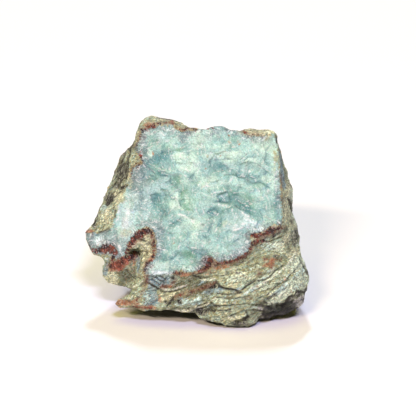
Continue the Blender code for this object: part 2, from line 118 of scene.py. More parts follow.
class Grain:
    """Seeded random fields, all worked out with arrays.

    The gain raises waves to about -1 to 1, the total lowers a sum of octaves again, the crest is how
    steeply ridges fall, and the shifts are how far apart in the field the octaves are read. The margin
    is how far from its cell's edge the middle of each break stays, as a share of the cell's width.
    """

    TABLE = 256
    SHARES = 6
    MARGIN = 0.1
    GAIN = 1.7
    TOTAL = 1.5
    CREST = 3.2
    WAVE_SHIFT = 7.3
    RIDGE_SHIFT = 3.1

    def __init__(self, seed: int) -> None:
        """Draws the tables that one field reads.

        Args:
            seed: the number that all its random values come from.
        """
        draw = np.random.default_rng(seed)
        self.order = draw.permutation(self.TABLE)
        ways = draw.normal(size=(self.TABLE, 3))
        self.ways = ways / np.linalg.norm(ways, axis=1, keepdims=True)
        self.shares = draw.random((self.TABLE, self.SHARES))

    def spot(self, cell: np.ndarray) -> np.ndarray:
        """Looks cells up in the table.

        Args:
            cell: whole-numbered cells.

        Returns:
            The table's place for each cell.
        """
        place = np.zeros(len(cell), np.int64)
        for column in cell.T:
            place = self.order[(place + column) % self.TABLE]
        return place

    def waves(self, points: np.ndarray) -> np.ndarray:
        """Smooth random waves of about unit length.

        Args:
            points: places, in wave lengths.

        Returns:
            Heights from -1 to 1.
        """
        base = np.floor(points).astype(np.int64)
        part = points - base
        fade = part**3 * (part * (part * 6 - 15) + 10)
        total = np.zeros(len(points))
        for corner in np.ndindex(2, 2, 2):
            way = self.ways[self.spot(base + corner)]
            pull = ((part - corner) * way).sum(axis=1)
            total += pull * np.where(corner, fade, 1 - fade).prod(axis=1)
        return np.clip(self.GAIN * total, -1, 1)

    def fractal(self, points: np.ndarray, length: float, octaves: int = 3) -> np.ndarray:
        """Waves of this length with finer and lower ones on them.

        Args:
            points: places in millimetres.
            length: the longest wave, in millimetres.
            octaves: how many times the waves are halved.

        Returns:
            Heights from about -1 to 1.
        """
        total = np.zeros(len(points))
        for step in range(octaves):
            total += self.waves(points * 2**step / length + self.WAVE_SHIFT * step) * 0.5**step
        return total / self.TOTAL

    def ridges(self, points: np.ndarray, length: float, octaves: int = 3) -> np.ndarray:
        """Sharp-crested waves of this length with finer and lower ones on them.

        Args:
            points: places in millimetres.
            length: the longest wave, in millimetres.
            octaves: how many times the waves are halved.

        Returns:
            Heights from about -1 to 1.
        """
        total = np.zeros(len(points))
        for step in range(octaves):
            raw = self.waves(points * 2**step / length + self.RIDGE_SHIFT * step)
            total += (1 - self.CREST * np.abs(raw)) * 0.5**step
        return total / self.TOTAL

    def facets(self, flat: np.ndarray, size: float, slope: float) -> np.ndarray:
        """Small tilted breaks: each cell of a jittered grid slopes its own way.

        Args:
            flat: places on the plane, in millimetres.
            size: the breaks' usual width.
            slope: their steepest tilt, as rise over run.

        Returns:
            Heights in millimetres.
        """
        cell = np.floor(flat / size).astype(np.int64)
        nearest = np.full(len(flat), np.inf)
        height = np.zeros(len(flat))
        for step in np.ndindex(3, 3):
            near = cell + step - 1
            share = self.shares[self.spot(near)]
            middle = near + self.MARGIN + (1 - 2 * self.MARGIN) * share[:, :2]
            offset = flat - middle * size
            gap = (offset**2).sum(axis=1)
            tilt = (share[:, 2:4] - 0.5) * 2 * slope
            rise = (tilt * offset).sum(axis=1) + (share[:, 4] - 0.5) * size * slope
            height = np.where(gap < nearest, rise, height)
            nearest = np.minimum(nearest, gap)
        return height


def ease(values: np.ndarray, low: float, high: float) -> np.ndarray:
    """0 below low, 1 above high, smooth between."""
    share = np.clip((values - low) / (high - low), 0, 1)
    return share * share * (3 - 2 * share)


@dataclass(frozen=True)
class Outline:
    """A closed outline drawn on the plane."""

    corners: tuple[tuple[float, float], ...]

    def depth(self, seen: np.ndarray) -> np.ndarray:
        """Measures places against the outline.

        Args:
            seen: places on the plane.

        Returns:
            How far inside the outline each place is, negative outside, in millimetres.
        """
        nearest = np.full(len(seen), np.inf)
        inside = np.zeros(len(seen), bool)
        for start, end in zip(self.corners, self.corners[1:] + self.corners[:1]):
            along = np.subtract(end, start)
            offset = seen - start
            place = np.clip(offset @ along / (along @ along), 0, 1)
            gap = np.linalg.norm(offset - place[:, None] * along, axis=1)
            nearest = np.minimum(nearest, gap)
            crosses = (seen[:, 1] < start[1]) != (seen[:, 1] < end[1])
            rise = along[1] if along[1] else 1.0
            where = start[0] + (seen[:, 1] - start[1]) * along[0] / rise
            inside ^= crosses & (seen[:, 0] < where)
        return np.where(inside, nearest, -nearest)


@dataclass(frozen=True)
class Band:
    """A line drawn on the plane, whose width changes along it: points of (across, up, half width)."""

    points: tuple[tuple[float, float, float], ...]

    def trace(self, seen: np.ndarray) -> tuple[np.ndarray, np.ndarray]:
        """Measures places against the band.

        Args:
            seen: places on the plane.

        Returns:
            How far inside the band each place is, and how far along it, in millimetres.
        """
        best = np.full(len(seen), -np.inf)
        reach = np.zeros(len(seen))
        travelled = 0.0
        for start, end in zip(self.points, self.points[1:]):
            along = np.subtract(end[:2], start[:2])
            length = math.hypot(*along)
            offset = seen - start[:2]
            place = np.clip(offset @ along / length**2, 0, 1)
            gap = np.linalg.norm(offset - place[:, None] * along, axis=1)
            inside = start[2] + place * (end[2] - start[2]) - gap
            reach = np.where(inside > best, travelled + place * length, reach)
            best = np.maximum(best, inside)
            travelled += length
        return best, reach


@dataclass(frozen=True)
class Scratches:
    """Many thin lines of one kind: each row is a half width, then the line's points."""

    rows: tuple[tuple[float | tuple[float, float], ...], ...]

    def depth(self, seen: np.ndarray) -> np.ndarray:
        """Measures places against the lines.

        Args:
            seen: places on the plane.

        Returns:
            How far inside the nearest line each place is, negative outside, in millimetres.
        """
        best = np.full(len(seen), OFF_LINE)
        for half, *points in self.rows:
            middle = np.mean(points, axis=0)
            reach = max(math.dist(middle, point) for point in points) - OFF_LINE
            near = np.nonzero(np.linalg.norm(seen - middle, axis=1) < reach)[0]
            band = Band(tuple((*point, half) for point in points))
            best[near] = np.maximum(best[near], band.trace(seen[near])[0])
        return best


@dataclass(frozen=True)
class Stroke:
    """One soft oval touch: its middle, half length, half width, strength and turn in degrees."""

    across: float
    up: float
    length: float
    width: float
    strength: float
    turn: float = 0.0
    edge_power: float = 1.5

    def cover(self, seen: np.ndarray) -> np.ndarray:
        """Lays the stroke on the plane.

        Args:
            seen: places on the plane.

        Returns:
            How much of the stroke lies on each place, from 0 to its strength.
        """
        turn = math.radians(self.turn)
        offset = seen - (self.across, self.up)
        along = offset @ (math.cos(turn), math.sin(turn)) / self.length
        over = offset @ (-math.sin(turn), math.cos(turn)) / self.width
        return self.strength * np.exp(-((along**2 + over**2) ** self.edge_power))


def layer(strokes: Strokes, seen: np.ndarray) -> np.ndarray:
    """All of a layer's strokes together, from 0 to 1.

    Args:
        strokes: one row of Stroke values for each touch.
        seen: places on the plane.

    Returns:
        How much the layer covers each place.
    """
    clear = np.ones(len(seen))
    for values in strokes:
        clear *= 1 - Stroke(*values).cover(seen)
    return 1 - clear


@dataclass(frozen=True)
class Step:
    """A sharp drop to the right of a line, which climbs back over its width.

    The step fades over these shares of its length at both ends. It drops over the brink, in
    millimetres, and its height is shared between the fall and the raised lip beside it.
    """

    start: Span
    end: Span
    width: float
    height: float
    fade: Span = (-0.12, 0.2)
    brink: float = 0.5
    fall_share: float = 0.8
    lip_share: float = 0.25

    def depth(self, seen: np.ndarray) -> np.ndarray:
        """Measures the cut.

        Args:
            seen: places on the plane.

        Returns:
            How deep the step cuts at each place, in millimetres, negative on its lip.
        """
        along = np.subtract(self.end, self.start)
        length = np.linalg.norm(along)
        along = along / length
        offset = seen - self.start
        place = offset @ along
        right = offset @ (along[1], -along[0])
        low, high = (share * length for share in self.fade)
        fade = ease(np.minimum(place, length - place), low, high)
        drop = ease(right, 0.0, self.brink)
        fall = np.clip(1 - right / self.width, 0, 1) * drop
        lip = np.clip(1 + 2 * right / self.width, 0, 1) * (1 - drop)
        return self.height * fade * (self.fall_share * fall - self.lip_share * lip)


class Tone(Enum):
    """The colour layers that are painted on the skin, by the name of the attribute that holds each."""

    DEEP = "deep"
    PALE = "pale"
    ICE = "ice"
    SAGE = "sage"
    MIST = "mist"
    STRAW = "straw"
    BONE = "bone"
    # Olive: the rock's olive parts, and painted shade on the lower matrix.
    MOSS = "moss"
    SLATE = "slate"
    CHALK = "chalk"
    # Near-black: the rock's dark parts, and painted shade along the lower edges and underside.
    SOOT = "soot"
    RUST = "rust"


@dataclass
class Skin:
    """The stone's surface while it is worked on, with its places and ways on the drawing plane.

    It faces the viewer where it lies far enough out and is turned far enough out.
    """

    drawn: np.ndarray
    ways: np.ndarray
    out_span: Span = (-17.5, -14.0)
    turn_span: Span = (-0.05, 0.15)
    facing_limit: float = 0.3
    seen: np.ndarray = field(init=False)
    facing: np.ndarray = field(init=False)

    def __post_init__(self) -> None:
        """Works out what follows from the places."""
        self.seen = PLANE.seen(self.drawn)
        near = ease(self.drawn[:, 2], *self.out_span)
        self.facing = near * ease(self.ways[:, 2], *self.turn_span)

    def where_drawn(self, values: np.ndarray, elsewhere: float) -> np.ndarray:
        """Values where the skin faces the viewer, and one plain value elsewhere."""
        return np.where(self.facing > self.facing_limit, values, elsewhere)

    def bent(self, seeds: tuple[Seed, Seed], length: float, reach: float) -> np.ndarray:
        """The seen places, moved by waves of this length, by about this reach in millimetres."""
        waves = [Grain(seed).fractal(self.drawn, length) for seed in seeds]
        return self.seen + reach * np.column_stack(waves)


@dataclass
class StoneMesh:
    """The fine mesh that stands for the plain solid."""

    voxel: float = 0.69
    smooth_share: float = 0.5
    smooth_rounds: int = 5
    front_limit: float = 0.12
    mesh: bpy.types.Mesh | None = None

    def raise_from(self, node: bpy.types.Object) -> bpy.types.Object:
        """Copies the solid, gives it an even fine skin and softens its facets.

        Args:
            node: the plain solid.

        Returns:
            The new object.
        """
        piece = bpy.data.objects.new("larimar_stone", node.data.copy())
        bpy.context.scene.collection.objects.link(piece)
        skin = piece.modifiers.new("even_skin", "REMESH")
        skin.mode = "VOXEL"
        skin.voxel_size = self.voxel * MM
        soften = piece.modifiers.new("soften", "SMOOTH")
        soften.factor = self.smooth_share
        soften.iterations = self.smooth_rounds
        bpy.context.view_layer.update()
        graph = bpy.context.evaluated_depsgraph_get()
        made = bpy.data.meshes.new_from_object(piece.evaluated_get(graph))
        piece.modifiers.clear()
        piece.data = made
        self.mesh = made
        self.refine_front()
        return piece

    def refine_front(self) -> None:
        """Halves the mesh's spacing on the side that faces the viewer."""
        out = Vector(PLANE.axes()[2])
        cage = bmesh.new()
        cage.from_mesh(self.mesh)
        cage.normal_update()
        front = {v for v in cage.verts if v.normal.dot(out) > self.front_limit}
        edges = [e for e in cage.edges if e.verts[0] in front and e.verts[1] in front]
        bmesh.ops.subdivide_edges(cage, edges=edges, cuts=1, use_grid_fill=True)
        bmesh.ops.triangulate(cage, faces=[f for f in cage.faces if len(f.verts) > 4])
        cage.to_mesh(self.mesh)
        cage.free()

    def read(self) -> Skin:
        """Reads the mesh.

        Returns:
            The skin's places and ways.
        """
        count = len(self.mesh.vertices)
        world = np.empty(count * 3)
        ways = np.empty(count * 3)
        self.mesh.vertices.foreach_get("co", world)
        self.mesh.vertices.foreach_get("normal", ways)
        world = world.reshape(-1, 3)
        ways = ways.reshape(-1, 3) @ PLANE.axes().T
        return Skin(PLANE.from_world(world), ways)

    def write(self, drawn: np.ndarray) -> None:
        """Moves the skin to these drawn places, and keeps it above the ground.

        Args:
            drawn: the new (across, up, out) of every vertex.
        """
        world = PLANE.to_world(drawn)
        world[:, 2] = np.maximum(world[:, 2], 0.0)
        self.mesh.vertices.foreach_set("co", world.ravel())
        self.mesh.update()

    def hollows(self, rounds: int) -> np.ndarray:
        """How far each vertex lies below its surroundings, in millimetres.

        Args:
            rounds: how often the surroundings are averaged, so how wide they are.

        Returns:
            Depths, negative on crests.
        """
        edges = np.empty(len(self.mesh.edges) * 2, np.int64)
        self.mesh.edges.foreach_get("vertices", edges)
        start, end = edges.reshape(-1, 2).T
        now = self.read()
        count = len(now.drawn)
        shared = np.maximum(np.bincount(start, minlength=count) + np.bincount(end, minlength=count), 1)
        level = now.drawn.copy()
        for _ in range(rounds):
            level = np.column_stack([
                np.bincount(start, column[end], count) + np.bincount(end, column[start], count)
                for column in level.T
            ]) / shared[:, None]
        return ((level - now.drawn) * now.ways).sum(axis=1)

    def store(self, name: str, values: np.ndarray) -> None:
        """Keeps one number, or one direction, for every vertex.

        Args:
            name: what the finish reads it by.
            values: one row for each vertex.
        """
        kind = "FLOAT" if values.ndim == 1 else "FLOAT_VECTOR"
        key = "value" if values.ndim == 1 else "vector"
        attribute = self.mesh.attributes.new(name, kind, "POINT")
        attribute.data.foreach_set(key, np.ascontiguousarray(values, np.float32).ravel())


@dataclass(frozen=True)
class LarimarFace:
    """The blue-green infill that shows on the broken face."""

    edge: Outline = Outline((
        (-19.4, 31.6), (-15.5, 32.3), (-14.0, 33.2), (-12.0, 32.9), (-9.5, 33.0), (-9.0, 32.0),
        (-7.5, 31.2), (-5.5, 30.8), (-4.5, 31.3), (-1.0, 31.0), (0.0, 32.5), (3.0, 32.5),
        (6.0, 34.0), (9.0, 34.0), (12.0, 31.5), (14.0, 30.8), (15.0, 30.3), (17.0, 29.8),
        (19.0, 29.6), (22.0, 29.0), (24.0, 29.3), (25.8, 30.0), (26.3, 28.0), (27.0, 25.0),
        (27.2, 22.0), (27.5, 17.0), (27.7, 12.0), (28.0, 8.0), (28.3, 4.0), (28.5, -1.5),
        (26.0, -1.5), (24.5, -2.5), (23.0, -3.8), (20.5, -4.5), (18.0, -5.0), (17.5, -6.0),
        (18.0, -8.0), (17.0, -11.0), (15.5, -12.0), (13.0, -13.3), (10.0, -14.3), (7.0, -14.8),
        (5.0, -14.0), (4.0, -12.8), (3.5, -15.5), (1.0, -16.6), (0.0, -17.5), (-2.0, -18.0),
        (-5.0, -18.3), (-6.5, -17.7), (-8.2, -18.2), (-10.6, -18.6), (-13.8, -19.0),
        (-18.6, -19.0), (-19.3, -17.5), (-18.5, -15.5), (-17.0, -14.3), (-15.8, -13.3),
        (-15.2, -11.0), (-15.3, -8.0), (-15.5, -5.5), (-16.5, -3.5), (-18.3, -2.4),
        (-19.8, -2.7), (-21.2, -3.6), (-22.5, -4.8), (-23.6, -6.2), (-24.4, -7.4),
        (-25.2, -8.8), (-25.7, -10.2), (-26.0, -12.0), (-27.2, -13.5), (-29.0, -14.0),
        (-30.0, -13.0), (-33.0, -12.0), (-36.0, -12.0), (-38.2, -11.4), (-40.2, -9.0),
        (-41.5, -6.0), (-40.5, -4.6), (-39.0, -4.7), (-36.0, -4.6), (-34.0, -4.6),
        (-32.0, -3.5), (-30.5, -2.5), (-30.0, -1.0), (-29.8, 0.5), (-29.0, 1.8), (-28.5, 3.0),
        (-28.5, 5.0), (-28.0, 5.8), (-27.0, 7.0), (-26.0, 9.5), (-25.5, 11.0), (-25.0, 13.0),
        (-24.0, 15.0), (-23.8, 17.0), (-23.0, 18.5), (-21.5, 19.0), (-20.0, 19.8),
        (-20.3, 21.0), (-21.0, 22.5), (-22.0, 24.0), (-22.8, 25.0), (-22.3, 26.5),
        (-21.0, 28.0), (-20.7, 30.0), (-20.5, 31.5),
    ))
    steps: tuple[Step, ...] = (
        Step((-20.0, 19.8), (-15.6, 16.3), 3.0, 0.5),
        Step((-16.3, 16.7), (-11.0, 15.5), 2.6, 0.6),
        Step((-11.2, 15.4), (-6.8, 16.2), 2.6, 0.5),
        Step((10.0, 20.8), (6.8, 21.2), 2.4, 0.6),
        Step((7.2, 21.2), (3.2, 20.0), 2.4, 0.7),
        Step((16.8, 23.2), (14.2, 21.2), 1.4, 0.3),
        Step((15.6, 4.2), (10.8, 8.6), 2.6, 0.6),
        Step((11.5, 9.4), (5.2, 6.6), 2.2, 0.7),
        Step((18.5, 1.4), (12.0, 5.2), 2.0, 0.5),
        Step((24.8, 16.4), (19.0, 13.2), 2.4, 0.5),
        Step((19.4, 13.6), (9.4, 16.0), 2.2, 0.5),
        Step((3.6, -12.8), (-1.2, -11.2), 2.4, 0.5),
        Step((-1.0, -11.2), (-5.2, -9.4), 2.4, 0.5),
        Step((-7.4, 4.4), (-7.6, 10.4), 2.8, 0.6),
        Step((-7.0, 15.0), (-8.4, 10.8), 2.2, 0.6),
        Step((-1.0, 13.4), (-3.0, 16.2), 2.4, 0.5),
        Step((-13.2, 8.6), (-9.0, 9.2), 0.9, 0.4),
        Step((4.0, -3.8), (8.2, 0.6), 2.0, 0.5),
    )
    break_size: float = 3.4
    break_slope: float = 0.22
    bend_size: float = 4.0
    bend_reach: float = 0.9
    wave_size: float = 2.2
    wave_height: float = 0.16
    wave_octaves: int = 4

    def relief(self, skin: Skin) -> np.ndarray:
        """The small breaks and steps on the face.

        Args:
            skin: the surface before the relief.

        Returns:
            Heights in millimetres.
        """
        seeds = (Seed.FACE_BEND_ACROSS, Seed.FACE_BEND_UP)
        bent = skin.bent(seeds, self.bend_size, self.bend_reach)
        height = Grain(Seed.FACE_BREAKS).facets(bent, self.break_size, self.break_slope)
        waves = Grain(Seed.FACE_WAVES).fractal(skin.drawn, self.wave_size, self.wave_octaves)
        height += self.wave_height * waves
        height -= sum(step.depth(skin.seen) for step in self.steps)
        return height


@dataclass(frozen=True)
class Rind:
    """The red-brown skin between the infill and the basalt."""

    bands: tuple[Band, ...] = (
        Band((
            (-19.4, 31.2, 0.6), (-18.4, 32.2, 0.7), (-16.2, 32.6, 0.9), (-14.5, 33.5, 0.5),
            (-12.0, 33.6, 0.5), (-9.6, 33.6, 0.7), (-8.8, 32.3, 0.3), (-7.5, 31.7, 0.5),
            (-5.5, 31.3, 0.8), (-3.5, 31.6, 0.4), (-1.0, 31.6, 0.5),
        )),
        Band((
            (-20.1, 31.2, 0.7), (-20.5, 29.4, 0.6), (-21.5, 27.2, 0.4), (-22.6, 25.7, 0.5),
            (-21.6, 23.8, 0.3), (-20.7, 22.4, 0.5), (-20.0, 20.6, 0.6), (-21.2, 19.4, 0.7),
            (-22.8, 18.6, 0.5), (-23.6, 17.4, 0.4), (-24.2, 14.6, 0.1),
        )),
        Band(((3.0, 31.5, 0.3), (5.2, 32.1, 0.5), (6.0, 32.6, 0.2))),
        Band(((9.8, 32.2, 0.4), (11.0, 31.5, 0.5), (11.8, 31.0, 0.4))),
        Band(((14.9, 30.5, 0.4), (16.0, 30.2, 0.4), (17.4, 29.6, 0.3), (19.3, 29.7, 0.5))),
        Band(((20.2, 29.5, 0.4), (21.8, 29.1, 0.5))),
        Band(((-40.2, -4.7, 0.5), (-38.8, -4.2, 0.6), (-37.4, -4.4, 0.4))),
        Band((
            (-39.8, -7.4, 0.2), (-38.6, -10.2, 0.6), (-36.2, -10.8, 1.4), (-34.2, -10.2, 1.9),
            (-31.8, -10.1, 2.1), (-30.0, -11.1, 1.4), (-30.4, -13.8, 0.9),
        )),
        Band((
            (-26.6, -13.8, 0.8), (-25.6, -11.0, 0.8), (-24.5, -8.4, 1.3), (-22.7, -6.2, 1.6),
            (-20.8, -4.7, 1.9), (-18.9, -3.6, 1.6), (-17.2, -4.0, 1.1), (-16.3, -6.8, 0.8),
            (-15.9, -9.5, 0.8), (-16.0, -12.0, 0.8), (-17.0, -13.9, 0.9), (-18.6, -15.4, 0.8),
            (-19.2, -17.6, 0.5), (-19.0, -19.6, 0.4),
        )),
        Band((
            (-30.8, -16.4, 1.6), (-28.6, -15.7, 2.2), (-26.2, -14.1, 2.0), (-23.6, -12.4, 1.4),
        )),
        Band((
            (-18.5, -19.2, 0.7), (-18.6, -21.4, 0.6), (-19.6, -24.6, 0.4), (-20.9, -27.2, 0.4),
            (-22.6, -28.4, 0.6),
        )),
        Band((
            (-9.4, -18.2, 0.3), (-7.8, -18.3, 0.8), (-5.8, -18.5, 0.7), (-3.0, -18.4, 0.4),
            (-1.0, -18.0, 0.4), (1.5, -17.0, 1.1), (3.2, -15.8, 1.9), (3.2, -13.9, 1.7),
            (4.8, -14.4, 1.0), (6.4, -15.0, 0.6), (8.5, -15.0, 0.7), (11.0, -14.4, 0.8),
            (13.6, -13.2, 0.8), (15.8, -12.0, 0.7), (17.4, -10.4, 0.9), (18.2, -8.6, 1.2),
            (19.6, -7.2, 1.1), (21.8, -7.0, 0.8),
        )),
        Band((
            (17.6, -5.4, 0.9), (19.8, -5.4, 1.3), (22.0, -4.8, 1.1), (24.6, -3.5, 1.6),
            (26.6, -3.0, 1.2), (28.8, -2.2, 0.6),
        )),
        Band(((27.8, 15.6, 0.2), (27.9, 12.4, 0.3), (28.2, 10.4, 0.1), (28.2, 6.4, 0.3))),
        Band((
            (-8.6, -27.0, 0.4), (-6.0, -26.0, 0.5), (-2.6, -25.0, 0.5), (0.0, -24.2, 0.6),
            (2.2, -23.3, 0.6), (5.0, -22.0, 0.4),
        )),
        Band(((-13.0, -23.3, 0.7), (-12.0, -23.6, 0.6), (-10.0, -23.2, 0.5), (-8.2, -21.0, 0.2))),
        Band(((-29.1, -29.3, 0.5), (-26.5, -28.9, 0.3), (-24.0, -28.7, 0.3), (-22.0, -28.8, 0.4))),
        Band(((-24.0, -29.9, 0.5), (-20.5, -30.6, 0.6), (-17.0, -30.3, 0.6))),
        Band(((22.2, -13.9, 0.4), (25.0, -14.3, 0.3), (28.0, -14.1, 0.4))),
        Band(((22.2, -16.3, 0.4), (23.4, -15.4, 0.4), (25.6, -15.2, 0.6), (24.8, -17.2, 0.5))),
        Band(((19.8, -19.2, 0.2), (20.8, -18.2, 0.25), (21.4, -18.6, 0.2), (20.4, -19.6, 0.2))),
    )
    band_gap: float = 100.0
    knob_span: Span = (-0.6, 0.2)
    knob_height: float = 0.22
    knob_size: float = 1.1
    knob_octaves: int = 2

    def trace(self, skin: Skin) -> tuple[np.ndarray, np.ndarray]:
        """Measures the skin against the rind.

        Args:
            skin: the surface.

        Returns:
            How far inside the rind each place is, and how far along it, in millimetres. Each band
            starts one gap further on, so that no two bands share their hairs.
        """
        best = np.full(len(skin.seen), FAR_OFF)
        reach = np.zeros(len(skin.seen))
        for number, band in enumerate(self.bands):
            depth, along = band.trace(skin.seen)
            reach = np.where(depth > best, along + self.band_gap * number, reach)
            best = np.maximum(best, depth)
        return skin.where_drawn(best, FAR_OFF), reach

    def relief(self, skin: Skin, depth: np.ndarray) -> np.ndarray:
        """Height of the rind's knobs, in millimetres."""
        knobs = Grain(Seed.RIND_KNOBS).ridges(skin.drawn, self.knob_size, self.knob_octaves)
        return ease(depth, *self.knob_span) * self.knob_height * knobs


@dataclass(frozen=True)
class BasaltMatrix:
    """The altered basalt: its folds, pits and rough breaks. Sizes are in millimetres."""

    laminae: tuple[Step, ...] = (
        Step((-10.0, -25.6), (5.5, -20.6), 1.6, 0.33),
        Step((-8.0, -27.4), (6.5, -21.9), 1.2, 0.33),
        Step((-11.0, -30.6), (6.5, -25.8), 1.2, 0.45),
        Step((4.0, -22.4), (14.0, -24.4), 1.6, 0.59),
        Step((13.5, -24.2), (21.0, -18.6), 2.0, 0.52),
        Step((20.8, -18.8), (29.0, -16.6), 1.6, 0.45),
        Step((4.5, -29.6), (20.5, -28.6), 2.0, 0.52),
        Step((20.3, -28.6), (27.5, -23.6), 2.2, 0.52),
        Step((27.3, -23.8), (35.0, -14.5), 1.8, 0.52),
        Step((18.5, -30.4), (29.0, -27.4), 1.6, 0.59),
        Step((3.5, -32.4), (11.0, -31.2), 1.4, 0.45),
        Step((12.0, -34.9), (21.8, -30.8), 1.6, 0.59),
        Step((25.5, -27.0), (34.0, -19.2), 1.4, 0.39),
        Step((14.0, -21.2), (27.0, -12.6), 1.3, 0.33),
        Step((8.0, -18.8), (20.0, -14.6), 1.3, 0.33),
        Step((17.5, -12.4), (28.8, -8.4), 1.5, 0.33),
        Step((-17.5, -29.0), (-10.0, -24.2), 1.2, 0.33),
        Step((-19.5, -22.2), (-14.0, -25.2), 1.2, 0.33),
    )
    dip: float = 28.0
    wall_dip: float = 66.0
    stretch: float = 2.8
    swell: float = 0.35
    fold_size: float = 2.2
    wall_fold_size: float = 1.6
    fold_height: float = 0.30
    lump_size: float = 1.6
    lump_height: float = 0.30
    wall_slant: float = 0.2
    wall_left: Span = (-19.0, -21.0)
    wall_top: Span = (4.0, 8.0)
    # The underside that hangs down on the right; it is painted near-black, partly as painted shade.
    sole_drop: float = 1.8
    sole_middle: float = 28.0
    sole_slope: float = 0.25
    sole_wave_size: float = 3.0
    sole_wave_height: float = 1.2
    sole_left: Span = (20.5, 23.0)
    sole_right: Span = (36.5, 27.0)
    sole_top: Span = (-27.4, -29.4)
    sole_down: Span = (0.0, 0.4)
    sole_front: Span = (-20.0, -12.0)
    back_size: float = 4.0
    back_height: float = 0.8
    back_octaves: int = 4
    pit_size: float = 1.9
    pit_span: Span = (0.42, 0.7)
    pit_depth: float = 0.5

    def bedded(self, drawn: np.ndarray, dip: float) -> np.ndarray:
        """Squeezes places along the folds, so that noise there runs with them.

        Args:
            drawn: points as (across, up, out).
            dip: how steeply the folds rise to the right, in degrees.

        Returns:
            The squeezed places.
        """
        turn = math.radians(dip)
        run = drawn @ (math.cos(turn), math.sin(turn), 0.0)
        rise = drawn @ (-math.sin(turn), math.cos(turn), 0.0)
        return np.column_stack((run / self.stretch, rise, drawn[:, 2]))

    def wall(self, skin: Skin) -> np.ndarray:
        """1 on the steep wall to the left, 0 elsewhere."""
        across, up = skin.seen.T
        return ease(across + self.wall_slant * up, *self.wall_left) * ease(up, *self.wall_top)

    def relief(self, skin: Skin) -> np.ndarray:
        """The folds, lumps and laminae in front.

        Args:
            skin: the surface before the relief.

        Returns:
            Heights in millimetres.
        """
        low = Grain(Seed.FOLDS).ridges(self.bedded(skin.drawn, self.dip), self.fold_size)
        wall = Grain(Seed.WALL_FOLDS).ridges(self.bedded(skin.drawn, self.wall_dip), self.wall_fold_size)
        share = self.wall(skin)
        height = self.fold_height * ((1 - share) * low + share * wall) + self.swell
        height += self.lump_height * Grain(Seed.LUMPS).fractal(skin.drawn, self.lump_size)
        cut = sum(step.depth(skin.seen) for step in self.laminae)
        return height - skin.facing * cut

    def sole(self, skin: Skin) -> np.ndarray:
        """The underside that hangs down on the right, which is painted near-black: partly dark rock, partly
        painted shade.

        Args:
            skin: the surface before the relief.

        Returns:
            How far it hangs, in millimetres.
        """
        across, up = skin.seen.T
        waves = Grain(Seed.SOLE_EDGE).fractal(skin.drawn, self.sole_wave_size)
        up = up - self.sole_slope * (across - self.sole_middle) + self.sole_wave_height * waves
        place = ease(across, *self.sole_left) * ease(across, *self.sole_right) * ease(up, *self.sole_top)
        down = -skin.ways @ PLANE.axes()[:, 2]
        place *= ease(down, *self.sole_down) * ease(skin.drawn[:, 2], *self.sole_front)
        return self.sole_drop * place

    def back_relief(self, skin: Skin) -> np.ndarray:
        """The coarse breaks and pits behind.

        Args:
            skin: the surface before the relief.

        Returns:
            Heights in millimetres.
        """
        breaks = Grain(Seed.BACK_BREAKS).ridges(skin.drawn, self.back_size, self.back_octaves)
        pits = ease(Grain(Seed.BACK_PITS).waves(skin.drawn / self.pit_size), *self.pit_span)
        return self.back_height * breaks - self.pit_depth * pits


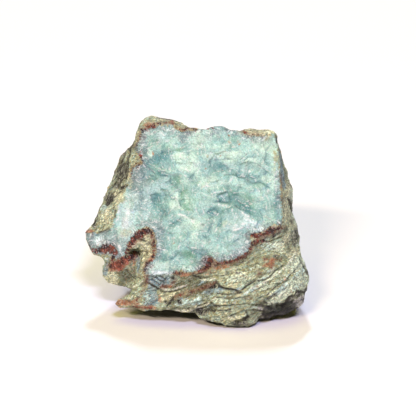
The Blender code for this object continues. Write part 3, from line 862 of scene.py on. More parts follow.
@dataclass(frozen=True)
class Painting:
    """Every colour layer, as strokes placed on the drawing plane, with one field for each tone."""

    deep: Strokes = (
        (-18.6, 22.4, 2.6, 4.0, 0.5), (-13.0, 29.2, 4.0, 2.4, 0.35), (-9.0, 28.4, 1.6, 2.2, 0.45),
        (-17.4, 18.2, 2.4, 1.4, 0.4, -30), (-9.0, 6.6, 1.0, 2.0, 0.45), (-17.4, 4.4, 3.6, 2.6, 0.45),
        (-12.4, 3.4, 2.2, 2.0, 0.35), (9.4, 3.4, 2.0, 1.4, 0.55), (16.4, 3.6, 3.0, 1.5, 0.5, -30),
        (0.2, -2.4, 1.4, 1.4, 0.45), (9.4, -2.2, 1.6, 1.2, 0.45), (-16.0, -8.2, 1.6, 3.6, 0.55),
        (-13.6, -12.8, 3.6, 1.4, 0.5), (0.4, -12.2, 2.0, 1.4, 0.5), (-16.6, -2.8, 2.8, 1.6, 0.4),
        (-6.0, -4.6, 1.6, 1.4, 0.4), (-13.0, 19.6, 5.4, 1.8, 0.5, -8), (-12.4, -9.0, 3.0, 5.0, 0.45),
        (-9.0, 7.0, 1.2, 2.4, 0.4), (-3.6, -9.4, 3.4, 2.6, 0.45, -20), (0.6, -12.6, 2.4, 1.8, 0.55),
        (6.4, 2.0, 3.0, 2.6, 0.4), (15.6, 5.4, 3.4, 2.2, 0.55, -35), (18.4, 2.0, 2.6, 2.4, 0.5),
        (15.0, 16.0, 2.2, 1.2, 0.5), (27.0, 6.0, 1.1, 7.0, 0.6), (4.6, 13.2, 2.6, 1.6, 0.35),
        (-9.4, 1.4, 2.0, 1.6, 0.45), (12.4, -2.2, 2.0, 1.0, 0.35), (-19.8, 6.0, 1.6, 4.0, 0.45),
        (22.4, -4.4, 3.0, 1.2, 0.4), (6.0, -5.4, 2.4, 1.2, 0.35), (18.0, -8.4, 1.6, 1.6, 0.4),
        (-16.4, -11.4, 1.0, 2.0, 0.4), (-16.0, 14.5, 4.0, 2.4, 0.35), (12.0, 6.2, 5.0, 3.0, 0.5, -35),
        (-10.0, 8.0, 2.6, 3.4, 0.45), (-11.0, 3.6, 2.6, 2.6, 0.3), (-9.0, -9.6, 2.4, 2.0, 0.3),
        (13.6, 2.4, 3.6, 1.6, 0.35, -35), (-12.8, 22.4, 4.6, 2.4, 0.8, 12),
        (-15.2, 21.0, 1.8, 1.2, 0.4, 20), (-11.2, 29.9, 0.8, 1.8, 0.35), (-13.2, 16.2, 2.8, 1.0, 0.9, -12),
        (-17.4, 15.6, 2.8, 1.8, 0.45), (-8.4, 12.4, 1.8, 2.0, 0.45, 20), (-8.2, 11.4, 0.9, 0.6, 0.6, -40),
        (-2.8, 14.6, 2.4, 1.8, 0.65, -50), (-1.4, 13.4, 0.8, 1.4, 0.4, 20), (6.6, 28.2, 2.8, 1.8, 0.4),
        (8.8, 27.2, 1.2, 1.6, 0.45), (6.2, 18.4, 3.8, 2.2, 0.75, 6), (7.6, 18.8, 1.8, 1.4, 0.4),
        (12.0, 17.2, 2.6, 1.2, 0.4), (12.8, 15.6, 3.6, 0.7, 0.7, -12), (17.0, 18.9, 1.6, 0.7, 0.5, 30),
        (20.2, 19.4, 1.2, 0.6, 0.45, 20), (22.8, 17.4, 2.8, 1.0, 0.45, -40),
        (18.2, 15.2, 3.2, 1.2, 0.65, -6), (19.2, 13.1, 3.4, 0.9, 0.6), (23.0, 12.2, 2.2, 0.7, 0.6, -25),
        (7.3, 6.7, 2.6, 0.9, 1.0, 4), (10.5, 7.2, 0.7, 1.2, 0.7), (12.0, 9.0, 1.8, 1.2, 0.4),
        (13.0, 6.3, 2.2, 1.3, 0.45, -38), (13.6, 4.2, 1.2, 0.7, 0.8, -40), (17.0, 3.9, 1.6, 1.2, 0.5, -30),
        (21.6, 2.8, 2.2, 2.6, 0.35), (26.5, 7.0, 0.8, 3.0, 0.6), (4.8, 3.0, 2.4, 1.8, 1.0, 20),
        (5.4, 3.6, 1.2, 0.9, 0.6, 20), (6.8, -1.4, 1.1, 2.2, 0.7, -18), (3.2, -2.6, 1.0, 2.4, 0.5, 15),
        (2.4, -5.4, 1.4, 1.2, 0.4), (-15.4, 7.2, 2.4, 3.0, 0.95, 14), (-14.8, 8.2, 1.2, 1.2, 0.4),
        (-13.2, 2.6, 2.2, 2.8, 0.65, 10), (-12.2, 2.0, 0.7, 1.4, 0.4, 15), (-12.0, 8.6, 1.2, 0.6, 0.5, 10),
        (-20.6, 11.0, 0.9, 2.8, 0.4), (-8.6, -0.9, 3.0, 1.3, 0.8, 24), (-10.0, -4.4, 3.8, 2.0, 0.25),
        (-4.6, -5.4, 2.0, 1.2, 0.3), (-11.4, -13.6, 3.2, 0.9, 0.5, 5), (-8.2, -11.6, 1.0, 1.6, 0.5, -30),
        (-2.4, -10.9, 2.6, 0.7, 0.6, -24), (6.5, -6.0, 3.0, 1.3, 0.35), (1.6, -6.0, 0.8, 0.9, 0.4),
        (-18.6, 20.6, 1.8, 1.2, 0.5, -30), (-17.0, -0.6, 2.6, 1.0, 0.3), (9.0, -8.6, 2.4, 1.2, 0.25, -20),
        (-24.0, 3.6, 0.7, 0.5, 0.25),
    )
    pale: Strokes = (
        (3.0, 21.4, 1.6, 1.0, 0.8), (2.4, 29.2, 2.4, 1.2, 0.6), (22.8, 24.0, 1.0, 1.2, 0.8),
        (-4.6, 7.4, 0.9, 1.8, 0.8, -10), (-7.0, 4.0, 1.2, 0.8, 0.7), (8.2, -1.6, 1.0, 1.6, 0.7),
        (-2.4, 21.4, 0.9, 3.2, 0.5, 14), (-1.0, 16.4, 1.0, 2.6, 0.5, -20), (6.6, 25.6, 3.2, 0.6, 0.5, 10),
        (-8.6, 4.6, 1.6, 1.2, 0.6), (24.0, 28.0, 2.0, 1.4, 0.7), (26.6, 24.8, 0.8, 2.4, 0.8),
        (9.4, -1.0, 2.0, 1.4, 0.5), (0.2, 31.0, 4.6, 1.0, 0.6), (8.8, 25.2, 1.8, 1.4, 0.6),
        (4.6, 22.2, 2.8, 1.2, 0.6), (9.6, 20.6, 2.6, 1.4, 0.6), (16.0, 19.4, 2.6, 1.0, 0.5),
        (20.6, 19.4, 2.4, 1.6, 0.7), (9.0, 13.2, 1.8, 1.2, 0.5), (-15.0, 10.4, 1.8, 1.2, 0.5),
        (-25.4, -4.6, 2.4, 2.2, 0.8), (15.2, 12.8, 1.8, 1.0, 0.5), (23.0, 26.4, 4.4, 2.8, 0.85),
        (26.0, 24.6, 1.4, 2.6, 0.7), (3.0, 22.6, 2.4, 1.4, 0.6), (10.6, 21.4, 3.4, 1.6, 0.6),
        (1.0, 13.2, 4.0, 2.4, 0.5), (-2.8, -0.8, 2.6, 2.2, 0.6), (24.2, 1.4, 2.0, 2.6, 0.4),
        (-4.0, 14.0, 1.6, 2.4, 0.3), (4.6, 11.4, 2.4, 1.4, 0.4), (-7.4, 22.2, 2.8, 1.5, 1.0, -6),
        (-17.6, 23.2, 1.2, 1.6, 0.9), (-1.4, 28.0, 3.0, 3.0, 0.65), (2.4, 26.0, 2.4, 4.0, 0.45, 20),
        (-5.2, 18.6, 3.4, 2.0, 0.75, -25), (-2.0, 18.8, 2.6, 2.6, 0.7), (-2.4, 22.0, 3.2, 2.4, 0.35),
        (11.0, 22.9, 4.6, 1.5, 1.0, 2), (6.6, 23.0, 2.4, 1.4, 0.5), (17.8, 17.3, 1.2, 0.7, 0.9),
        (17.8, 21.0, 2.6, 0.9, 0.8), (23.4, 14.3, 2.4, 1.3, 0.8, -20), (18.0, 25.2, 3.6, 3.4, 0.4),
        (25.6, 19.0, 1.1, 7.4, 0.7), (25.4, 13.0, 0.9, 4.0, 0.5), (4.4, 13.6, 3.4, 1.8, 0.45),
        (0.6, 12.6, 1.0, 1.6, 0.6), (-8.9, 9.0, 1.5, 1.5, 1.0), (-9.2, 5.4, 1.9, 2.0, 0.85),
        (-7.8, 7.0, 0.6, 3.4, 0.8, 5), (-0.4, -1.6, 2.4, 3.6, 0.6), (-2.0, -5.8, 1.4, 3.0, 0.5),
        (1.6, -7.8, 1.4, 1.0, 0.7), (-5.6, 1.2, 2.6, 0.8, 0.8, -22), (-27.2, -4.0, 2.0, 2.4, 1.0, 10),
        (-12.0, -11.0, 3.0, 1.2, 0.35), (-13.2, -15.8, 4.8, 1.2, 0.7), (-9.4, 27.8, 1.8, 2.6, 0.4),
        (21.8, -0.4, 3.0, 1.0, 0.4, -8), (-4.4, -17.2, 3.4, 0.8, 0.6), (12.8, 12.6, 2.4, 1.4, 0.3),
        (21.0, 10.0, 1.2, 2.4, 0.3), (-5.6, -1.8, 1.4, 1.4, 0.4),
    )
    ice: Strokes = (
        (-25.8, -3.4, 2.0, 2.6, 1.0), (-25.6, 2.4, 1.6, 3.0, 1.0), (-25.8, -6.4, 1.4, 1.2, 1.0),
        (-35.0, -7.8, 1.8, 1.5, 1.0), (-20.0, 26.6, 1.2, 2.0, 0.6), (-22.2, 6.6, 1.0, 1.4, 0.6),
        (14.6, -11.2, 2.2, 1.0, 0.8, 20), (-12.6, -21.0, 1.6, 0.9, 0.8), (17.6, -0.6, 4.6, 1.2, 0.8, -30),
        (13.0, -2.6, 3.0, 1.2, 0.5, 20), (19.8, -3.4, 2.0, 0.9, 0.7, -10), (-24.6, -4.6, 2.4, 2.0, 0.8),
        (-25.6, 1.6, 2.0, 3.4, 0.7), (-27.6, -1.8, 1.4, 1.8, 0.5), (-24.8, -11.6, 0.8, 1.6, 0.6),
        (3.0, 22.0, 1.6, 1.2, 0.5), (20.8, -2.2, 2.6, 1.0, 0.5, 10), (-27.4, -11.2, 0.9, 2.4, 0.6),
        (-25.6, -4.2, 1.8, 1.6, 0.6), (15.4, 28.4, 2.4, 1.2, 0.5), (3.0, 28.4, 1.8, 1.2, 0.5),
        (-35.2, -6.7, 1.6, 1.4, 1.0), (-36.6, -7.6, 1.6, 1.6, 0.5), (-31.6, -6.0, 1.6, 1.2, 0.5),
        (-28.0, -8.6, 1.0, 3.0, 0.5), (-17.6, 8.2, 2.2, 3.0, 0.35), (-24.8, 3.0, 2.8, 3.2, 1.0, -8),
        (-28.0, 3.0, 0.9, 2.2, 1.0), (-26.0, -0.8, 3.2, 1.8, 0.9), (-19.2, 4.6, 2.0, 4.2, 0.45),
        (-18.4, 1.6, 2.2, 1.2, 0.5), (-14.6, 12.2, 3.8, 2.0, 0.6, 20), (-18.0, 10.4, 2.8, 1.4, 0.35),
        (-13.2, 29.8, 1.8, 2.2, 0.8), (-10.6, 31.6, 1.2, 0.8, 0.8), (-23.4, 8.6, 2.8, 1.8, 0.6),
        (7.2, 30.8, 2.8, 1.2, 0.5), (16.8, -1.4, 3.0, 1.4, 0.95, -12), (13.4, -2.6, 3.4, 1.0, 0.8, -4),
        (20.4, -3.1, 2.2, 0.8, 0.9, -5), (9.2, 5.1, 3.4, 0.5, 0.75, -4), (15.0, 2.4, 3.4, 0.6, 0.7, -38),
        (10.6, 1.4, 3.0, 1.6, 0.4), (12.6, -0.4, 2.8, 1.0, 0.4), (9.4, -3.0, 3.2, 1.5, 0.4),
        (14.4, -7.6, 3.0, 3.2, 0.5), (10.6, -6.2, 2.8, 1.2, 0.4, 30), (-14.4, -16.0, 4.4, 1.2, 0.8),
        (-17.0, -17.2, 1.8, 1.4, 0.9), (-5.0, -16.8, 3.6, 1.0, 0.4), (-16.4, -14.6, 1.4, 1.0, 0.6, 30),
        (10.4, 19.2, 2.0, 1.6, 0.4), (-1.8, 19.6, 2.0, 1.6, 0.35), (18.0, 16.2, 2.2, 0.6, 0.3, -10),
        (10.4, -10.6, 3.4, 1.6, 0.3), (-14.6, -7.4, 0.9, 3.4, 0.5, 8), (0.6, 19.2, 1.4, 2.0, 0.3),
    )
    sage: Strokes = (
        (25.4, 18.6, 0.7, 1.6, 0.6), (-17.2, 24.0, 1.2, 3.0, 0.5), (-5.3, 7.8, 2.2, 4.4, 0.85),
        (-4.4, 3.7, 1.0, 0.8, 0.8), (-12.4, 25.6, 3.4, 1.2, 0.6), (-7.6, 24.6, 2.6, 0.9, 0.65),
        (-17.0, 28.2, 1.8, 3.2, 0.5), (-15.0, 18.4, 5.0, 1.6, 0.6, -22), (-10.6, 19.2, 2.6, 1.4, 0.4, -20),
        (-8.4, 13.8, 2.2, 2.0, 0.9), (12.0, 28.4, 2.4, 2.2, 0.55), (10.4, 25.4, 3.0, 1.0, 0.6),
        (17.0, 19.4, 2.0, 0.7, 0.4, 20), (21.8, 22.6, 2.8, 2.6, 0.3), (8.2, 11.2, 4.4, 0.9, 0.6, 4),
        (11.6, 9.2, 2.0, 1.4, 0.9), (16.8, 8.0, 3.0, 2.4, 0.6, -20), (17.2, 4.4, 2.0, 1.5, 0.8, -30),
        (21.6, 6.0, 3.4, 2.4, 0.35), (25.6, 2.4, 1.6, 3.6, 0.4), (-3.8, -12.2, 3.6, 1.8, 0.9, -10),
        (2.2, -11.6, 2.8, 0.9, 0.7, -14), (-3.4, -14.6, 3.0, 1.4, 0.35), (2.9, 9.9, 0.8, 0.8, 0.6),
        (-2.4, 9.4, 2.6, 3.6, 0.25), (-5.0, -5.0, 1.6, 1.2, 0.3), (14.2, 11.4, 2.4, 1.2, 0.35),
        (7.0, 25.8, 1.4, 1.0, 0.3), (-12.6, -9.4, 1.8, 2.6, 0.4), (3.4, 11.4, 1.4, 1.0, 0.3),
    )
    mist: Strokes = (
        (1.0, 25.4, 1.6, 2.2, 0.5), (12.0, -8.0, 3.2, 1.6, 0.5, 16), (-30.4, -8.2, 2.0, 1.2, 0.7),
        (-24.2, 12.4, 1.2, 3.0, 0.4), (-22.8, 8.6, 2.4, 3.2, 0.7), (-26.6, 6.4, 1.2, 1.6, 0.6),
        (-16.0, -2.4, 3.2, 1.6, 0.6, 10), (-19.6, 22.6, 1.6, 3.4, 0.6), (-30.6, -11.0, 2.0, 2.6, 0.7),
        (12.0, -12.2, 4.0, 1.2, 0.6, 18), (-11.0, 24.6, 2.6, 1.6, 0.4), (24.0, -2.6, 3.0, 1.0, 0.5, -10),
        (-35.6, -7.0, 5.0, 3.6, 0.7), (-28.8, -9.6, 2.0, 4.6, 0.7), (-31.8, -7.4, 3.0, 3.0, 0.6),
        (4.0, -15.0, 4.0, 1.6, 0.6, 10), (-18.4, 22.0, 8.4, 4.6, 0.55, 80),
        (-20.0, 10.0, 7.4, 4.6, 0.45, 80), (-11.4, 13.8, 2.6, 2.0, 0.3), (-14.0, -6.0, 2.8, 6.0, 0.7),
        (-20.4, 4.6, 1.8, 4.4, 0.65), (-14.0, 27.6, 3.6, 1.6, 0.35), (-19.7, 28.4, 0.9, 3.6, 0.8),
        (-18.8, 22.6, 1.0, 2.6, 0.8), (-6.3, 28.4, 1.8, 2.0, 0.75), (-3.6, 29.8, 1.8, 1.2, 0.75),
        (-13.0, 31.9, 3.0, 0.7, 0.7), (-21.5, 15.6, 2.2, 3.2, 1.0, 10), (-22.3, 12.2, 2.0, 2.8, 0.85, -10),
        (-20.8, 9.0, 1.0, 3.4, 0.6), (-21.9, 6.6, 1.2, 1.8, 0.5), (-18.6, 12.6, 1.6, 2.4, 0.4),
        (-17.6, -0.9, 3.2, 1.1, 0.75), (-21.6, -1.8, 1.6, 0.7, 0.7), (-14.2, -4.4, 1.4, 3.4, 0.5, 6),
        (-13.4, -9.0, 1.4, 3.6, 0.4), (-29.6, -5.4, 1.2, 3.4, 0.6), (-28.0, -10.4, 1.4, 3.4, 0.9),
        (-38.2, -7.6, 1.4, 2.6, 0.8), (-32.8, -7.2, 2.2, 2.6, 0.85), (-1.8, -14.0, 1.8, 2.4, 0.7),
        (1.2, -15.0, 2.2, 1.8, 0.9), (19.2, 28.8, 3.2, 0.8, 0.6), (13.0, 6.4, 2.0, 1.2, 0.4, -38),
        (8.4, -12.8, 2.0, 1.0, 0.6), (13.4, -11.2, 2.4, 1.4, 0.7, 40), (16.8, -8.0, 1.4, 3.0, 0.7),
        (22.6, -1.2, 2.6, 0.8, 0.4, -10), (16.0, -5.2, 2.4, 0.7, 0.5), (14.6, 28.6, 1.2, 1.6, 0.4),
        (-18.4, -15.6, 1.2, 2.0, 0.7, -20), (27.0, 3.0, 0.8, 4.0, 0.5), (-10.0, 30.4, 0.9, 1.4, 0.4),
        (-25.6, 12.0, 0.8, 1.8, 0.5),
    )
    straw: Strokes = (
        (17.0, 30.4, 2.6, 1.4, 0.7), (23.4, 28.6, 1.0, 1.0, 0.7), (-27.2, 15.6, 1.2, 1.6, 0.7),
        (-25.4, -4.6, 2.0, 1.6, 0.5), (31.4, -18.6, 4.4, 0.8, 0.6, 48), (25.0, -25.0, 5.0, 0.6, 0.5, 38),
        (13.6, 31.4, 1.4, 0.8, 0.5), (-18.0, -11.2, 1.6, 3.0, 0.7, 6), (-20.6, -8.4, 2.2, 0.8, 0.6, 10),
        (-22.6, -26.8, 1.8, 2.0, 0.5, -30), (-30.4, -22.2, 3.4, 0.5, 0.5, -10),
        (-20.2, -10.8, 1.4, 1.8, 0.8), (31.4, 4.0, 1.4, 8.0, 0.9), (33.2, -1.4, 1.2, 3.0, 0.9),
        (30.0, -6.6, 1.6, 2.6, 0.9), (33.0, -12.4, 1.6, 2.6, 0.8), (-31.4, -19.6, 2.6, 2.2, 0.9, -10),
        (-22.6, -29.2, 2.4, 0.8, 0.8), (12.6, -34.6, 4.6, 1.4, 0.8, 6), (13.6, -26.2, 2.6, 1.2, 0.8, 6),
        (-2.4, -29.6, 2.0, 1.0, 0.7, 14), (19.6, 31.0, 6.4, 1.2, 1.0), (30.6, 10.0, 1.6, 8.0, 0.6, 4),
        (-30.4, -20.6, 2.4, 1.6, 0.8, -10), (-33.0, 11.6, 1.0, 3.4, 0.5, -20),
        (-28.0, 8.2, 2.6, 1.4, 0.8, 40), (-24.6, 14.8, 0.7, 4.6, 0.7, 4), (-28.6, 8.4, 2.8, 1.6, 0.85, 40),
        (-27.8, 6.6, 1.6, 1.2, 0.7, 30), (-32.6, 1.4, 2.6, 4.4, 0.65, -12), (-38.6, -3.0, 1.2, 0.8, 0.8),
        (-18.4, -6.3, 1.7, 1.0, 1.0, -38), (-21.8, -7.9, 3.0, 0.9, 0.9, 6),
        (-18.1, -10.4, 1.2, 3.6, 0.95, 8), (-19.0, -14.0, 0.9, 2.6, 0.9), (-12.0, 34.6, 5.6, 0.7, 0.7, -6),
        (-6.6, 33.2, 2.0, 1.0, 0.7, -35), (-21.7, 29.6, 0.6, 2.8, 0.8, -8), (19.6, 30.9, 6.0, 0.8, 0.75),
        (23.6, 30.6, 2.4, 1.2, 0.7), (24.4, -5.7, 2.2, 0.7, 0.8, 10), (-5.0, -31.2, 5.0, 0.5, 0.9, 8),
        (2.6, -28.9, 2.6, 0.5, 0.8, 26), (-11.6, -26.6, 2.8, 2.4, 0.7, 20), (14.4, -18.8, 2.4, 1.4, 0.7),
        (8.4, -18.2, 2.8, 1.2, 0.5, 10), (31.6, -12.0, 2.4, 2.4, 0.7, 30), (34.0, -19.0, 2.6, 3.6, 0.6),
        (30.6, -23.0, 2.0, 1.6, 0.5, 30), (29.6, 5.0, 0.9, 5.4, 0.6), (28.8, -0.6, 0.9, 2.8, 0.4),
        (-7.0, -24.6, 4.0, 0.7, 0.5, 22), (26.2, 23.4, 0.6, 1.1, 0.9), (26.5, 21.2, 0.6, 1.3, 1.0),
        (26.0, 18.0, 0.5, 4.0, 0.4), (2.8, 22.2, 0.5, 0.7, 0.7), (-27.2, -4.6, 1.6, 2.0, 0.35),
        (24.2, 28.2, 1.6, 1.2, 0.5), (8.0, -33.4, 4.0, 1.4, 0.4, -5), (-1.0, -33.0, 1.6, 0.7, 0.5, -30),
    )
    bone: Strokes = (
        (24.4, -18.4, 2.8, 0.9, 0.9, 28), (28.2, -18.0, 1.8, 0.8, 0.7, 30),
        (22.4, -23.4, 1.8, 1.0, 0.9, 30), (35.2, -22.4, 1.2, 2.4, 0.8), (35.0, -16.0, 1.4, 1.6, 0.8),
        (-31.0, -15.8, 1.6, 1.2, 0.7), (-17.0, -28.4, 1.2, 0.9, 0.7), (26.6, -10.6, 2.8, 1.4, 0.5),
        (34.6, -16.4, 1.8, 2.8, 0.6), (35.4, -21.6, 1.4, 2.2, 0.6), (30.6, -16.6, 2.4, 0.8, 0.6, 40),
        (10.4, -20.4, 2.6, 1.1, 0.6, -10), (16.2, -20.2, 2.2, 0.8, 0.6, 16),
        (21.4, -22.4, 2.6, 1.1, 0.7, 34), (33.0, -9.0, 1.4, 1.8, 0.6), (28.6, -11.0, 2.0, 1.0, 0.5),
        (15.0, -20.4, 2.4, 0.8, 0.6, 20), (25.4, -22.8, 2.6, 0.8, 0.6, 36),
        (-25.0, -27.5, 3.0, 0.6, 0.6, 6), (30.6, 14.6, 0.8, 2.6, 0.5), (31.8, 8.4, 1.0, 2.4, 0.7),
        (32.8, 1.4, 1.2, 2.4, 0.7), (-24.2, -28.9, 1.0, 0.8, 0.5), (-28.6, -11.0, 0.8, 1.6, 0.6),
        (25.4, -28.6, 3.0, 1.4, 0.9, 8), (36.0, -15.2, 1.0, 2.6, 0.8), (31.6, 5.0, 1.4, 6.0, 0.5),
        (33.4, -0.6, 1.2, 3.4, 0.5), (29.4, -25.6, 3.6, 1.5, 1.0, 25), (33.0, -21.8, 2.4, 2.2, 0.9, 40),
        (19.6, -21.6, 2.4, 0.9, 0.9, 20), (24.6, -20.7, 2.8, 0.7, 0.8, 35), (36.0, -18.2, 1.3, 3.4, 0.9, 8),
        (32.4, -14.8, 1.8, 2.4, 0.8, -10), (13.4, -19.0, 2.0, 1.2, 0.7, 20), (26.4, -8.9, 2.2, 1.2, 0.7),
        (34.6, -16.4, 1.6, 3.0, 0.6, 16), (20.4, -22.8, 4.6, 1.2, 0.9, 36),
        (27.4, -26.4, 2.8, 1.8, 0.9, 30), (33.0, -16.6, 2.6, 2.2, 0.8, 50), (35.6, -21.0, 1.6, 3.0, 0.8),
        (31.6, -22.4, 2.0, 1.6, 0.6, 30), (7.4, -28.2, 2.6, 1.4, 0.8, 10), (24.0, -8.6, 2.6, 1.0, 0.5, 10),
        (28.0, -8.4, 1.4, 1.4, 0.5), (25.4, -19.2, 3.0, 0.7, 0.6, 35), (2.4, -20.9, 3.0, 0.5, 0.8, 8),
        (14.6, -20.6, 2.0, 0.9, 0.7), (-16.0, -30.9, 3.0, 0.3, 0.5), (22.8, -31.6, 1.4, 0.6, 0.4, 40),
        (11.4, -33.2, 1.6, 0.6, 0.5, 25), (-26.4, -22.9, 2.6, 0.4, 0.5, -8),
        (18.6, -17.0, 2.6, 0.7, 0.5, 25), (-34.4, 3.8, 0.9, 1.0, 0.7), (11.4, -21.0, 3.0, 0.7, 0.5),
        (-11.0, -24.4, 2.6, 0.3, 0.9, 4), (34.6, -25.4, 0.9, 0.5, 0.5),
    )
    # Olive rock, and painted shade on the lower matrix and between its folds.
    moss: Strokes = (
        (28.4, -21.8, 3.0, 0.32, 0.8, 38), (21.4, -20.0, 3.6, 0.36, 0.8, 32),
        (31.6, -18.4, 3.0, 0.32, 0.8, 44), (31.4, -10.8, 1.2, 1.8, 0.5), (-12.0, -26.0, 1.2, 1.0, 0.6),
        (17.6, -22.6, 3.0, 0.32, 0.8, 24), (-27.6, -18.4, 2.4, 1.2, 0.6, -20),
        (-22.5, -16.6, 1.4, 1.8, 0.5), (-24.5, -21.0, 2.0, 1.0, 0.5), (-19.6, -21.4, 1.2, 2.4, 0.6, -30),
        (-2.4, -23.6, 8.0, 5.4, 0.35, 12), (-0.4, -27.6, 2.0, 0.6, 0.5, 20),
        (12.6, -15.0, 5.0, 1.2, 0.5, 22), (-5.6, -31.0, 3.0, 1.0, 0.6), (0.6, -24.0, 5.0, 1.0, 0.6, 14),
        (-8.4, -27.2, 3.4, 1.2, 0.6, 20), (21.2, -28.6, 3.4, 0.8, 0.6, 8), (18.8, -16.0, 3.0, 0.7, 0.5, 30),
        (-2.0, -31.6, 3.6, 1.0, 0.8, -6), (-10.0, -30.6, 3.0, 0.7, 0.7), (18.4, -32.0, 1.8, 1.6, 0.8, 30),
        (22.6, -18.6, 3.4, 0.5, 0.6, 36), (3.6, -25.8, 2.8, 0.8, 0.6, 20), (14.6, -14.2, 3.4, 0.9, 0.6, 26),
        (20.4, -13.6, 2.0, 0.8, 0.6, 26), (-29.6, -21.8, 3.6, 1.4, 0.6, -10),
        (9.0, -14.6, 4.0, 1.0, 0.6, 8), (24.0, -26.4, 3.0, 0.8, 0.7, 24), (-9.6, -29.0, 2.8, 1.2, 0.7, 14),
        (-2.6, -26.2, 3.0, 0.9, 0.7, 16), (1.0, -16.8, 2.0, 0.7, 0.7), (-25.4, -17.6, 2.4, 1.2, 0.6, -10),
        (0.0, -22.6, 5.0, 1.4, 0.8, 10), (3.0, -24.4, 3.6, 1.2, 0.8, 14), (-7.6, -23.6, 3.0, 1.6, 0.8, 10),
        (-9.4, -26.0, 2.6, 1.4, 0.7, 20), (-1.2, -25.6, 3.0, 0.8, 0.6, 16), (-3.0, -19.6, 4.6, 1.0, 0.7),
        (1.6, -17.6, 3.0, 0.8, 0.6), (3.6, -30.8, 3.4, 1.8, 0.8), (22.8, -29.0, 3.4, 1.0, 0.6, 10),
        (13.0, -33.2, 4.0, 1.0, 0.4, 10), (1.6, -30.6, 2.6, 1.6, 0.8, -10), (16.0, -27.6, 6.0, 0.6, 0.6, 6),
        (22.0, -24.6, 5.0, 0.5, 0.6, 30), (3.0, -19.8, 7.0, 0.5, 0.6, 6), (-4.0, -21.4, 5.0, 0.6, 0.6, 14),
        (-26.6, -19.4, 3.2, 2.0, 0.7, -8), (-23.4, -18.6, 1.4, 1.8, 0.5), (20.6, -11.2, 3.2, 1.2, 0.35, 24),
        (-3.4, -20.0, 4.0, 1.0, 0.7, -6), (-6.6, -22.0, 1.6, 1.4, 0.5), (11.0, -16.4, 3.4, 0.8, 0.4, 14),
        (2.0, -30.4, 3.2, 1.8, 0.8), (30.4, 12.6, 1.4, 5.4, 0.75, 10), (-13.6, -28.6, 1.8, 0.9, 0.5, 30),
        (11.4, -24.4, 3.2, 0.8, 0.5, -4), (29.6, -4.0, 1.2, 2.6, 0.7), (24.6, -23.6, 2.6, 0.8, 0.6, 30),
        (28.6, -21.6, 2.6, 0.6, 0.6, 30), (12.4, -27.2, 4.0, 0.7, 0.5, 4), (13.0, -30.4, 4.0, 1.0, 0.5, 4),
        (-17.2, 34.8, 2.4, 0.8, 0.5), (30.4, -10.6, 1.0, 1.6, 0.5), (-23.6, -25.8, 0.9, 0.5, 0.3, 30),
    )
    slate: Strokes = (
        (1.0, -22.0, 2.4, 0.8, 0.6, 24), (6.5, -24.6, 3.0, 0.8, 0.6, 20), (13.0, -24.4, 2.4, 0.7, 0.6, 28),
        (4.0, -29.6, 2.4, 0.8, 0.6, 10), (11.0, -29.4, 2.4, 0.8, 0.6, 24), (9.0, -27.0, 2.6, 0.6, 0.5, 20),
        (-13.6, -20.8, 5.2, 2.5, 1.0, -16), (-16.4, -22.2, 2.4, 1.6, 1.0, -30),
        (-17.4, -26.6, 2.6, 3.2, 1.0, -10), (-15.8, -28.6, 2.0, 1.4, 0.8), (28.2, 19.0, 0.8, 7.6, 0.9, 4),
        (28.9, 12.6, 0.8, 2.6, 0.6, 10), (-13.6, -20.6, 4.4, 1.9, 1.0, -16),
        (-11.0, -21.8, 2.0, 1.4, 0.7, -20), (-16.6, -24.0, 1.4, 1.4, 0.7), (5.4, -23.6, 2.0, 1.6, 1.0),
        (2.8, -25.0, 2.0, 1.2, 0.6, 20), (-32.3, -16.4, 0.9, 2.6, 1.0, -6),
        (-33.2, -18.4, 1.0, 1.6, 0.7, -20), (-21.3, -16.6, 0.9, 2.6, 0.9), (-21.0, -13.6, 0.6, 1.2, 0.5),
        (26.6, -15.6, 1.4, 0.7, 0.5, 10), (26.9, 28.2, 0.6, 1.8, 0.9, 10), (-6.6, -28.2, 3.0, 1.2, 0.5, 20),
        (-17.4, -29.2, 2.2, 0.9, 0.5), (-32.0, -13.0, 1.0, 1.0, 0.5), (27.4, -19.6, 1.4, 0.5, 0.4, 30),
        (25.2, -16.2, 1.0, 0.6, 0.5),
    )
